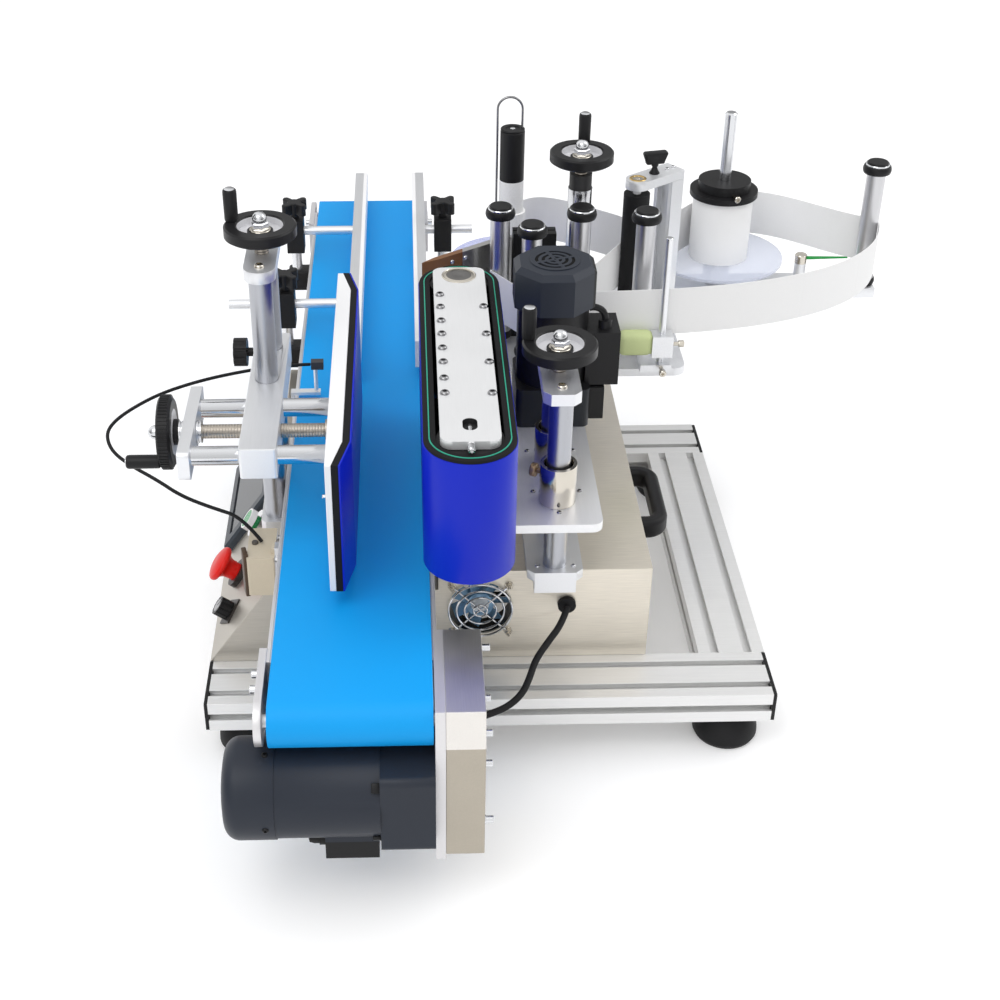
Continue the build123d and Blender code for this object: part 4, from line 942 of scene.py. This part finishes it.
@dataclass
class Conveyor:
    """The belt, the bolts of its ends and of the drive cover, and the motor's fittings."""

    axis_x: float = -174.0
    axis_z: float = 175.0
    near: float = -464.0
    far: float = 484.0
    half_width: float = 62.0
    inner: float = 18.3
    outer: float = 20.0
    edge: float = 0.5
    cover_face: float = -73.0
    cover_bolts: Sequence[Station] = ((-390, 183), (-416, 153), (-450, 147), (-457, 122), (-483, 88))
    motor_axis: Station = (-464.0, 108.0)

    def belt(self) -> None:
        """A woven belt loop with rounded edges."""
        half, outer, edge = self.half_width, self.outer, self.edge
        profile = [(self.inner, -half), (outer - edge, -half), (outer, edge - half), (outer, half - edge),
                   (outer - edge, half), (self.inner, half)]
        place = spot(self.axis_x, self.near, self.axis_z, RIGHT)
        piece = Bench.put("woven_belt", Bench.loop(profile, self.far - self.near), place, AZURE)
        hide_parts("conveyor_belt")

    def bolts(self) -> None:
        """The bolts of the end plates and the drive cover."""
        outer, z = self.half_width + 10.0, self.axis_z + 6.0
        ends = ((LEFT, -outer, self.near, 1), (LEFT, -outer, self.far, -1), (RIGHT, outer, self.far, -1))
        spots = [spot(self.axis_x + side, end + inward * away, z, way)
                 for way, side, end, inward in ends for away in (30.0, 48.0)]
        Bench.put("end_plate_screws", Fasteners.cap(3.4, 6.0), spots, BRIGHT)
        spots = [spot(self.cover_face, y, z, RIGHT, 12.0 * number)
                 for number, (y, z) in enumerate(self.cover_bolts)]
        Bench.put("cover_screws", Fasteners.cap(3.0, 7.0), spots, BRIGHT)

    def around(self, x: float, radius: float, turns: Iterable[float]) -> list[Matrix]:
        """Places round the motor, facing out.

        Args:
            x: along the motor, in mm.
            radius: from its axis, in mm.
            turns: angles from +Y, in degrees.

        Returns:
            The placing matrices.
        """
        y, z = self.motor_axis
        ways = [(0, math.cos(math.radians(turn)), math.sin(math.radians(turn))) for turn in turns]
        return [spot(x, y + radius * way[1], z + radius * way[2], way) for way in ways]

    def motor(self) -> None:
        """The clips of the motor's joint, the screws of its cap, its gland and the grille on its end."""
        y, z = self.motor_axis
        clips = self.around(-156.0, 39.0, (40.0, 140.0, 220.0, 320.0))
        Bench.put("motor_clips", Bench.block((7.0, 8.0, 3.0), 0.8), clips, PLASTIC)
        screws = self.around(-240.0, 39.9, (190.0, 100.0, 10.0, -80.0))
        Bench.put("motor_cap_screws", Fasteners.button(2.6, 1.6), screws, PLASTIC)
        gland = Bench.turned([(6.4, -2.0), (6.4, 5.0), (5.2, 5.4), (5.2, 9.0), (4.2, 13.0), (2.0, 13.6)], 24)
        Bench.put("motor_gland", gland, spot(-197.0, y - 8.0, 62.0, LEFT), PLASTIC)
        rims = [Bench.turned([(r, -0.4), (r + 1.6, -0.4), (r + 1.3, 0.9), (r + 0.3, 0.9)], 40, ring=True)
                for r in (7.0, 12.0, 17.0, 22.0)]
        Bench.put("motor_grille", Bench.weld(*rims), spot(-273.0, y, z, LEFT), SLATE)

    def build(self) -> None:
        """Build it all."""
        self.belt()
        self.bolts()
        self.motor()


@dataclass
class SideBelt:
    """The side belt: sponge, blue skin and green cord, and the fittings of its plate and motor."""

    body: str = "side_carriage"
    axis_x: float = -81.2
    near: float = -350.0
    far: float = -81.0
    bottom: float = 241.5
    top: float = 353.0
    plate_top: float = 359.0
    left_row: Sequence[float] = (-120, -144, -170, -194, -219, -243, -270, -294)
    right_row: Sequence[float] = (-144, -195, -244, -295)
    motor_cap: Point = (2.0, -104.0, 383.4)

    def layer(self, name: str, inner: float, outer: float, low: float, high: float, soft: float,
              finish: Finish) -> Thing:
        """One layer of the belt loop.

        Args:
            name: the piece's name.
            inner: distance in mm of its inner face from the loop's middle line.
            outer: the same for its outer face.
            low: height of its lower edge.
            high: height of its upper edge.
            soft: radius of its outer edges.
            finish: its finish.

        Returns:
            The piece.
        """
        part = 0.3 * soft
        profile = [(inner, low), (outer - soft, low), (outer - part, low + part), (outer, low + soft),
                   (outer, high - soft), (outer - part, high - part), (outer - soft, high), (inner, high)]
        shape = Bench.loop(profile, self.far - self.near)
        return Bench.put(name, shape, spot(self.axis_x, self.near, 0), finish, self.body)

    def loop(self) -> None:
        """The three layers."""
        sponge = self.layer("side_belt_sponge", 26.2, 35.6, self.bottom + 0.4, self.top, 1.2, SPONGE)
        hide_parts("side_belt")
        self.layer("side_belt_skin", 35.6, 36.2, self.bottom, self.top - 2.6, 0.3, BLUE_SKIN)
        self.layer("side_belt_cord", 30.6, 31.6, self.top - 0.6, self.top + 0.5, 0.3, GREEN_CORD)

    def plate(self) -> None:
        """Screws, the bearing and the tension screw of the top plate."""
        spots = [spot(-99.0, y, self.plate_top, turn=17.0 * n) for n, y in enumerate(self.left_row)]
        spots += [spot(-62.0, y, self.plate_top, turn=23.0 * n) for n, y in enumerate(self.right_row)]
        Bench.put("top_plate_screws", Fasteners.button(3.9, 2.3), spots, SCREW, self.body)
        race = Bench.turned([(11.2, -0.2), (15.4, -0.2), (15.4, 0.5), (14.6, 0.9), (13.9, 0.4), (12.6, 0.4),
                             (12.0, 0.8), (11.2, 0.8)], 48, ring=True)
        Bench.put("bearing_race", race, spot(self.axis_x, self.far, self.plate_top), NICKELLED, self.body)
        screw = Bench.turned([(2.0, 0.0), (2.0, 26.0), (2.9, 26.2), (3.0, 26.8), (3.0, 33.4),
                              (2.4, 34.0)], 20)
        screw = Bench.cut(screw, Bench.turned([(1.4, 31.0), (1.4, 36.0)], 6))
        Bench.put("tension_screw", screw, spot(self.axis_x, -343.0, 356.4, FRONT), BRIGHT, self.body)

    def covers(self) -> None:
        """The vent grid on the motor's cap and the seal of the bearing."""
        bars = [Bench.turned([(inner, 0.0), (outer, 0.0), (outer, 0.7), (outer - 0.3, 1.0),
                              (inner + 0.3, 1.0), (inner, 0.7)], 64, ring=True)
                for inner, outer in ((0.6, 3.2), (6.0, 9.0), (11.8, 14.8), (17.6, 22.0))]
        for turn in (20.0, 110.0):
            spoke = Bench.block((40.0, 3.4, 0.95), 0.2)
            spoke.matrix_world = Matrix.Rotation(math.radians(turn), 4, "Z")
            Bench.apply()
            bars.append(spoke)
        Bench.put("side_cap_grid", Bench.weld(*bars), spot(*self.motor_cap), SLATE, self.body)
        seal = Bench.turned([(11.4, 0.05), (11.4, 0.25), (10.9, 0.45), (4.0, 0.45), (3.6, 0.25),
                             (1.0, 0.25)], 48)
        Bench.put("bearing_seal", seal, spot(self.axis_x, self.far, self.plate_top), SEAL, self.body)

    def build(self) -> None:
        """Build it all."""
        self.loop()
        self.plate()
        self.covers()


@dataclass
class PressingPad:
    """The pad's sponge and blue skin, its bolts and the collars of its feed screw."""

    face: float = -179.0
    near: float = -352.0
    length: float = 341.0
    bottom: float = 212.0
    height: float = 118.0
    bevel: float = 36.0
    taper: float = 8.0
    feed_axis: Station = (-217.5, 282.0)
    bolts: Sequence[Point] = ((-192.0, -120.0, 262.0), (-192.0, -290.0, 262.0))

    def layer(self, name: str, inner: float, outer: float, round_by: float, finish: Finish) -> Thing:
        """One layer of the pad, with both ends drawn back.

        Args:
            name: the piece's name.
            inner: distance in mm of its back from the plate's face.
            outer: the same for its front.
            round_by: radius of its front edges.
            finish: its finish.

        Returns:
            The piece.
        """
        middle, front = self.near + self.length / 2, self.face + outer

        def at_end(at: Vector) -> bool:
            """Whether a vertex is at an end of the pad."""
            return abs(at.y - middle) > self.length / 2 - 1

        Bench.clear()
        bpy.ops.mesh.primitive_cube_add(size=1.0)
        shape = bpy.context.object
        shape.scale = Vector((outer - inner, self.length, self.height)) * MM
        shape.location = Vector((self.face + (inner + outer) / 2, middle, self.bottom + self.height / 2)) * MM
        Bench.apply()
        Bench.mode("EDIT")
        for y in (self.near + self.bevel, self.near + self.length - self.bevel):
            bpy.ops.mesh.select_all(action="SELECT")
            bpy.ops.mesh.bisect(plane_co=(0, y * MM, 0), plane_no=(0, 1, 0))
        Bench.pick(shape, at_end)
        bpy.ops.transform.translate(value=(-self.taper * MM, 0, 0))
        Bench.pick(shape, lambda at: at.x > front - 0.1 - (self.taper if at_end(at) else 0.0))
        bpy.ops.mesh.bevel(offset=round_by * MM, segments=3, affect="EDGES")
        Bench.mode("OBJECT")
        return Bench.put(name, shape, Matrix.Identity(4), finish, "pad_slide", "blue_face_foam")

    def cushion(self) -> None:
        """Sponge and skin."""
        sponge = self.layer("pad_sponge", 0.0, 5.6, 0.5, SPONGE)
        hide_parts("pad_foam")
        self.layer("pad_skin", 5.6, 7.0, 0.5, BLUE_SKIN)

    def feed(self) -> None:
        """Collars each side of the yoke, the end of the feed screw and the bolts behind the pad."""
        y, z = self.feed_axis
        collar = Bench.turned([(6.4, 0.0), (9.6, 0.0), (9.6, 1.6), (8.4, 2.0), (8.4, 2.6), (9.6, 3.0),
                               (9.6, 4.1), (6.4, 4.1)], 32, ring=True)
        spots = [spot(-316.3, y, z, LEFT), spot(-305.8, y, z, RIGHT)]
        Bench.put("feed_collars", collar, spots, BRIGHT, "feed_hand_wheel")
        end = Bench.turned([(5.9, 0.0), (5.9, 20.0), (9.0, 20.2), (9.0, 25.2), (8.4, 25.6)], 28)
        worn = Threaded("feed_thread", WORN_STEEL, 0.32, 1.0, Grain.ALONG_X, 1400, relief=4, slot="nickel",
                        thread=lambda at: at.x < -197.5)
        Bench.put("feed_screw_end", end, spot(-218.0, y, z, RIGHT), worn, "feed_hand_wheel")
        spots = [spot(*at, LEFT) for at in self.bolts]
        Bench.put("pad_bolts", Fasteners.bolt(3.6, 4.0), spots, BRIGHT, "pad_slide")

    def build(self) -> None:
        """Build it all."""
        self.cushion()
        self.feed()


@dataclass
class RailClamps:
    """The lower blocks of the guide rails' clamps."""

    feet: Sequence[Point] = ((-253.4, 335.0, 151.4), (-253.4, 145.0, 151.4), (-94.6, 335.0, 151.4))

    def build(self) -> None:
        """A moulded block round each post's foot."""
        block = Bench.block((26.0, 23.0, 24.0), 2.4, 3)
        Bench.put("clamp_feet", block, [spot(*at) for at in self.feet], PLASTIC)


@dataclass
class HandWheels:
    """The nuts, washers, grips and grip ends of the four hand-wheels, and the ribs of one."""

    wheels: Sequence[Wheel] = WHEELS
    nut_seat: float = 11.2
    ribs: int = 60
    rib_foot: float = 30.8
    rib_middle: float = 10.0

    def build(self) -> None:
        """Fit every wheel."""
        nut = Fasteners.acorn(7.6)
        washer = Bench.turned([(6.1, 9.8), (9.2, 9.8), (9.2, 10.8), (8.8, 11.2), (6.1, 11.2)], 40,
                              ring=True)
        disc = Bench.turned([(4.6, -0.3), (4.6, 0.3), (3.8, 0.8), (0.5, 0.9)], 24)
        sleeve = Bench.turned([(4.9, -28.2), (5.8, -27.4), (5.9, -26.0), (6.0, -2.4), (5.6, -0.7),
                               (4.7, 0.0)], 32)
        for wheel in self.wheels:
            hub, way = Vector(wheel.hub), wheel.facing
            tip = spot(*(Vector(wheel.grip) + hub), way)
            for part, shape, place, finish in (
                    ("wheel_nut", nut, spot(*(Vector(way) * self.nut_seat + hub), way, 20.0), BRIGHT),
                    ("wheel_washer", washer, spot(*hub, way), NICKELLED),
                    ("grip_end", disc, tip, BRIGHT),
                    ("grip", sleeve, tip, PLASTIC)):
                Bench.put(f"{wheel.name}_{part}", shape, place, finish, f"{wheel.name}_hand_wheel", keep=True)
        for shape in (nut, washer, disc, sleeve):
            bpy.data.objects.remove(shape)
        self.knurl(self.wheels[-1])

    def knurl(self, wheel: Wheel) -> None:
        """Ribs round the rim of the feed wheel.

        Args:
            wheel: the wheel that gets them.
        """
        spots = []
        for number in range(self.ribs):
            turn = 2 * math.pi * number / self.ribs
            way = Vector((0, math.cos(turn), math.sin(turn)))
            at = Vector(wheel.hub) + Vector(LEFT) * self.rib_middle + way * self.rib_foot
            place = Matrix((way.cross(Vector(RIGHT)), Vector(RIGHT), way)).transposed().to_4x4()
            spots.append(Matrix.Translation(at * MM) @ place)
        rib = Bench.block((1.5, 8.0, 1.0), 0.35, 1)
        Bench.put("feed_wheel_ribs", rib, spots, PLASTIC, "feed_hand_wheel")


@dataclass
class LiftFittings:
    """Screws of the lift brackets and the carriage."""

    carriage_top: float = 234.0
    collar_screws: Sequence[Station] = ((-23.0, -244.0), (16.6, -244.0), (-3.3, -276.5), (-23.6, -178.0),
                                        (17.2, -178.0))

    def build(self) -> None:
        """Set every screw and the thumb knob."""
        spots = [spot(-3.5, y, 342.5, turn=9.0) for y in (-257.0, -197.0)]
        spots += [spot(-250.7, y, 403.0, turn=40.0) for y in (-153.0, -93.0)]
        Bench.put("bracket_screws", Fasteners.button(4.4, 2.6), spots, NICKELLED)
        small = Fasteners.button(2.2, 1.3)
        spots = [spot(x, y, self.carriage_top) for x, y in self.collar_screws]
        Bench.put("collar_screws", small, spots, SCREW, "side_carriage", keep=True)
        Bench.put("lift_foot_screws", small, [spot(x, -262.0, 169.0) for x in (-18.5, 12.5)], BRIGHT)
        knob = Bench.turned([(2.2, -0.5), (2.2, 3.0), (5.6, 3.2), (6.0, 3.8), (6.0, 7.6), (5.4, 8.2),
                             (1.0, 8.2)], 20)
        place = spot(-17.6, -246.0, 256.0, (-0.9, 0.43, 0))
        Bench.put("collar_thumb_knob", knob, place, BRONZE, "side_carriage")


@dataclass
class LabelHead:
    """Caps of the rollers, and the small fittings of the label head."""

    body: str = "label_head"
    cap_top: float = 371.0
    bush: Point = (101.0, 100.0, 376.0)
    knob: Point = (119.0, 114.0, 376.0)
    stand_screws: Sequence[Point] = ((133.2, 124.2, 376.0), (140.0, 129.4, 376.0))
    peel_face: Point = (0.570, -0.821, 0)
    peel_along: Point = (0.821, 0.570, 0)
    drum: Point = (-19.0, 165.0, 404.0)

    def caps(self) -> None:
        """A rubber ring, a bright ring and a raised disc on each roller."""
        top = self.cap_top
        tyre = Bench.turned([(11.0, top - 8.6), (13.4, top - 8.6), (14.0, top - 7.2), (14.4, top - 5.2),
                             (14.1, top - 3.0), (13.4, top - 1.2), (11.0, top - 0.2)], 40, ring=True)
        disc = Bench.turned([(10.6, top - 0.2), (10.6, top + 2.2), (10.0, top + 2.9), (8.2, top + 3.2),
                             (0.3, top + 3.3)], 40)
        cap = Bench.weld(tyre, disc)
        ring = Bench.turned([(10.4, top - 0.6), (12.2, top - 0.6), (12.3, top + 0.4), (11.8, top + 1.1),
                             (10.4, top + 1.1)], 40, ring=True)
        foot = Bench.turned([(11.0, 0.2), (13.4, 0.2), (14.0, 1.6), (14.4, 3.8), (14.0, 6.0), (13.2, 7.4),
                             (11.0, 7.8)], 40, ring=True)
        for letter, x, y, low in ROLLERS:
            for part, shape, z, finish in (("cap", cap, 0, PLASTIC), ("ring", ring, 0, BRIGHT),
                                           ("foot", foot, low, RUBBER)):
                Bench.put(f"roller_{letter}_{part}", shape, spot(x, y, z), finish, f"guide_roller_{letter}",
                          keep=True)
        for shape in (cap, ring, foot):
            bpy.data.objects.remove(shape)
        block = Bench.block((25.0, 30.0, 11.0), 0.8)
        Bench.put("outer_roller_block", block, spot(351.0, 144.0, 229.0), ALUMINIUM, self.body)

    def stand(self) -> None:
        """The brass bush, the wing knob and the screws of the feed roller's stand."""
        bush = Bench.turned([(5.2, -1.0), (8.4, -1.0), (8.4, 0.4), (7.9, 0.8), (6.0, 0.8), (5.4, 0.3)], 40,
                            ring=True)
        Bench.put("feed_bush", bush, spot(*self.bush), BRASS, self.body)
        core = Bench.turned([(5.4, -0.2), (5.4, 0.1), (2.2, 0.1), (1.8, 0.5), (0.4, 0.5)], 32)
        Bench.put("feed_bush_core", core, spot(*self.bush), NICKELLED, self.body)
        neck = Bench.turned([(5.2, -0.3), (5.2, 0.8), (3.6, 3.2), (2.4, 6.4), (3.6, 8.4), (3.6, 11.0)], 28)
        Bench.put("wing_knob_neck", neck, spot(*self.knob), PLASTIC, self.body)
        wing = Bench.block((25.0, 9.0, 13.0), 2.6, 3)
        wing = Bench.squeeze(wing, lambda at: at.z < 4.0, (0.78, 0.8, 1.0))
        x, y, z = self.knob
        Bench.put("wing_knob", wing, spot(x, y, z + 9.6, turn=12.0), PLASTIC, self.body)
        screw = Fasteners.button(2.4, 1.4)
        spots = [spot(*at) for at in self.stand_screws]
        Bench.put("stand_screws", screw, spots, BRIGHT, self.body, keep=True)
        start = Vector((-113, 29, 314)) + Vector(self.peel_face) * 3.0
        spots = [spot(*(start + Vector(self.peel_along) * away), self.peel_face) for away in (34.0, 50.0)]
        Bench.put("peel_screws", screw, spots, BRIGHT, self.body)

    def spools(self) -> None:
        """The unwinder's clamp screw, the rewinder's end and the brake's fittings."""
        grub = Bench.turned([(2.0, -2.0), (2.0, 6.0), (3.2, 6.2), (3.4, 6.8), (3.4, 11.0), (2.8, 11.6)], 24)
        grub = Bench.cut(grub, Bench.turned([(1.6, 9.0), (1.6, 14.0)], 6))
        place = spot(208.5, 149.4, 336.2, (0.2, -0.98, 0))
        Bench.put("collar_screw", grub, place, NICKELLED, "unwinder", keep=True)
        spots = [spot(126.0, -22.0, 257.0, RIGHT), spot(116.0, -31.0, 235.0, FRONT)]
        Bench.put("brake_screws", grub, spots, NICKELLED, self.body)
        felt = Bench.block((33.0, 17.0, 24.0), 6.5, 4)
        Bench.put("brake_felt", felt, spot(90.6, -21.0, 246.4), FELT, self.body)
        tip = Bench.turned([(3.6, -0.5), (3.6, 0.6), (2.9, 1.2), (0.4, 1.3)], 24)
        Bench.put("brake_rod_tip", tip, spot(116.0, -20.0, 365.0), BRIGHT, self.body)
        rim = Bench.turned([(7.4, -0.3), (12.3, -0.3), (12.3, 0.4), (11.6, 1.2), (8.2, 1.2), (7.4, 0.4)], 40,
                           ring=True)
        Bench.put("drum_rim", rim, spot(*self.drum), PLASTIC, "rewinder")
        pin = Bench.turned([(2.6, -0.3), (2.6, 0.8), (1.9, 1.4), (0.3, 1.5)], 24)
        Bench.put("drum_screw", pin, spot(*self.drum), BRIGHT, "rewinder")

    def arm(self) -> None:
        """The post on the arm and its green brake strap."""
        post = Bench.turned([(6.3, 0.0), (6.3, 8.4), (5.6, 9.2), (2.0, 9.2)], 28)
        Bench.put("strap_post_end", post, spot(285.0, 145.0, 263.6), NICKELLED, self.body)
        strap = Bench.block((44.0, 7.0, 1.1), 0.4, 1)
        strap = Bench.squeeze(strap, lambda at: at.x > 10.0, (1.0, 0.35, 1.0))
        Bench.put("brake_strap", strap, spot(312.0, 145.0, 268.0), STRAP_GREEN, self.body)

    def build(self) -> None:
        """Build it all."""
        self.caps()
        self.stand()
        self.spools()
        self.arm()


@dataclass
class Panel:
    """The fan's case and guard, the sensor's fittings and the handle's screws."""

    fan: Station = (-67.0, 120.0)
    guard_y: float = -259.6
    case_back: float = -234.0
    case_front: float = -256.0
    wire: float = 0.95
    handle_middle: Point = (88.0, -85.0, 118.0)

    def guard(self) -> None:
        """The fan's case, with its back strut, and a thin wire guard on four screws."""
        x, z = self.fan
        case = Bench.block((60.0, 60.0, 20.0), 2.5, 3)
        case = Bench.cut(case, Bench.turned([(28.0, -5.0), (28.0, 25.0)], 64))
        hub = Bench.turned([(11.0, 0.0), (11.0, 2.4), (10.0, 3.0)], 32)
        case = Bench.weld(case, hub, Bench.block((58.0, 4.0, 3.0), 0.5))
        piece = Bench.put("fan_case", case, spot(x, self.case_back, z, FRONT), PLASTIC)
        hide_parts("fan_frame")
        eighths = [k * math.pi / 4 for k in range(8)]
        section = [(self.wire * math.cos(turn), self.wire * math.sin(turn)) for turn in eighths]
        rings = [Bench.turned([(radius + out, up) for out, up in section], 56, ring=True)
                 for radius in (28.0, 21.0, 14.0, 6.0)]
        Bench.put("fan_guard_rings", Bench.weld(*rings), spot(x, self.guard_y, z, FRONT), BRIGHT)
        wire = Bench.turned([(0.7, -36.0), (self.wire, -35.6), (self.wire, 35.6), (0.7, 36.0)], 12)
        spots = [spot(x, self.guard_y + 1.4, z, (side * 0.7071, 0, 0.7071)) for side in (-1, 1)]
        Bench.put("fan_guard_wires", wire, spots, BRIGHT)
        spots = [spot(x + side, self.case_front, z + rise, FRONT, 15.0)
                 for side in (-25.0, 25.0) for rise in (-25.0, 25.0)]
        Bench.put("fan_screws", Fasteners.bolt(3.0, 4.6), spots, NICKELLED)

    def sensor(self) -> None:
        """The amplifier's flap, its studs and its port."""
        flap = Bench.block((4.4, 13.0, 44.0), 0.9)
        Bench.put("sensor_flap", flap, spot(-270.0, -256.0, 141.5, turn=14.0), BROWN)
        stud = Bench.turned([(2.4, 0.0), (2.4, 3.4), (2.0, 3.8)], 6)
        spots = [spot(-244.0, y, z, RIGHT) for y, z in ((-226.0, 178.0), (-258.0, 178.0), (-258.0, 150.0))]
        Bench.put("sensor_studs", stud, spots, BRIGHT)
        port = Bench.turned([(2.9, -0.3), (2.9, 1.6), (2.3, 2.2)], 20)
        Bench.put("sensor_ports", port, spot(-262.0, -241.0, 183.0), PORT)

    def handle(self) -> None:
        """Screws of the pull handle."""
        x, y, z = self.handle_middle
        spots = [spot(x, y + end, z + rise, RIGHT) for end in (-45.0, 45.0) for rise in (-11.8, 11.8)]
        Bench.put("handle_screws", Fasteners.button(3.4, 2.0), spots, BRIGHT)

    def build(self) -> None:
        """Build it all."""
        self.guard()
        self.sensor()
        self.handle()


@dataclass
class Studio:
    """Floor, light and camera."""

    eye: Point = (-0.1252, -1.3668, 0.9635)
    pitch: float = 33.26
    yaw: float = 1.52
    lens: float = 56.84
    shift: float = 0.0523
    level: float = 0.63
    rise: float = 0.50
    bands: float = 0.58
    glow: float = 0.16
    lamps: Sequence[tuple[str, Point, float, float]] = (
        ("key", (-0.9, -1.2, 2.1), 1.4, 14.0), ("fill", (1.6, 0.2, 1.7), 1.2, 8.0))

    def floor(self) -> None:
        """A plain pale floor that looks white where no shadow falls."""
        Bench.clear()
        bpy.ops.mesh.primitive_plane_add(size=12.0, location=(0, 0, -0.0002))
        plane = bpy.context.object
        plane.name = "floor"
        graph = Graph("floor_paper")
        camera, glossy, through = (graph.node("ShaderNodeLightPath", output=f"Is {kind} Ray")
                                   for kind in ("Camera", "Glossy", "Transmission"))
        seen = camera | glossy | through
        grain = graph.noise(graph.place().vector, 3.0) * 0.02 + 0.99
        graph.set(Base_Color=graph.shade((0.90, 0.90, 0.905), grain), Roughness=0.9,
                  Emission_Color=graph.grey(seen * self.glow), Emission_Strength=1.0)
        plane.data.materials.append(graph.material)

    def lights(self) -> None:
        """Soft light all round, with darker screens between, and two large soft lamps."""
        sky = Sky("studio")
        place = sky.place("Generated", 1.0)
        high = place.z.clamped()
        turn = (place.y.bearing(place.x) * 3.0 + 0.6).sine()
        light = high * self.rise + turn * (1.0 - high) * self.bands + self.level
        seen = sky.node("ShaderNodeLightPath", output="Is Camera Ray")
        sky.set(Color=(1.0, 1.0, 1.0), Strength=light * (1.0 - seen) + seen)
        for name, at, size, power in self.lamps:
            lamp = bpy.data.lights.new(name, "AREA")
            lamp.size = size
            lamp.energy = power
            holder = bpy.data.objects.new(name, lamp)
            holder.location = at
            holder.rotation_euler = (Vector((0, 0, 0.2)) - Vector(at)).to_track_quat("-Z", "Y").to_euler()
            bpy.context.collection.objects.link(holder)

    def camera(self) -> None:
        """The camera where the photograph was taken."""
        lens = bpy.data.cameras.new("camera")
        lens.lens = self.lens
        lens.sensor_width = 36.0
        lens.shift_x = self.shift
        holder = bpy.data.objects.new("camera", lens)
        holder.location = self.eye
        holder.rotation_euler = (math.radians(90 - self.pitch), 0, math.radians(-self.yaw))
        bpy.context.collection.objects.link(holder)
        bpy.context.scene.camera = holder
        bpy.context.scene.view_settings.view_transform = "Standard"

    def build(self) -> None:
        """Set the whole studio."""
        self.camera()
        self.floor()
        self.lights()


SOFTENED: dict[str, float] = {
    "lift_brackets": 0.6, "pad_block": 0.8, "carriage_plate": 0.9, "belt_plates": 0.9, "pad_plate": 0.8,
    "base_beams": 0.35, "label_base": 0.5, "pad_rods": 0.6, "drive_cover": 0.7, "housing": 0.6,
    "side_motor": 0.6, "conveyor_motor": 0.6, "rail_clamps": 0.8, "conveyor_frame": 0.5,
}


def dress_nodes() -> None:
    """Give every CAD node its finish, and break the sharp edges of the machined ones."""
    for node, finish in (plain_finishes() | zoned_finishes()).items():
        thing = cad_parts[node]
        thing.data.materials.clear()
        thing.data.materials.append(finish.material())
        if node in SOFTENED:
            thing.modifiers.new("merge", "WELD").merge_threshold = 10 * MICRON
            edge = thing.modifiers.new("edges", "BEVEL")
            edge.width = SOFTENED[node] * MM
            edge.segments = 2
            edge.limit_method = "ANGLE"
            edge.angle_limit = math.radians(40)
        LOG.info("%s dressed as %s", node, finish.name)


def main() -> None:
    """Build the studio, the cables and every sub-assembly."""
    logging.basicConfig(level=logging.INFO, format="%(message)s")
    Studio().build()
    Cables().build()
    dress_nodes()
    for assembly in (Conveyor(), SideBelt(), PressingPad(), RailClamps(), HandWheels(), LiftFittings(),
                     LabelHead(), Panel()):
        assembly.build()


if __name__ == "__main__":
    main()
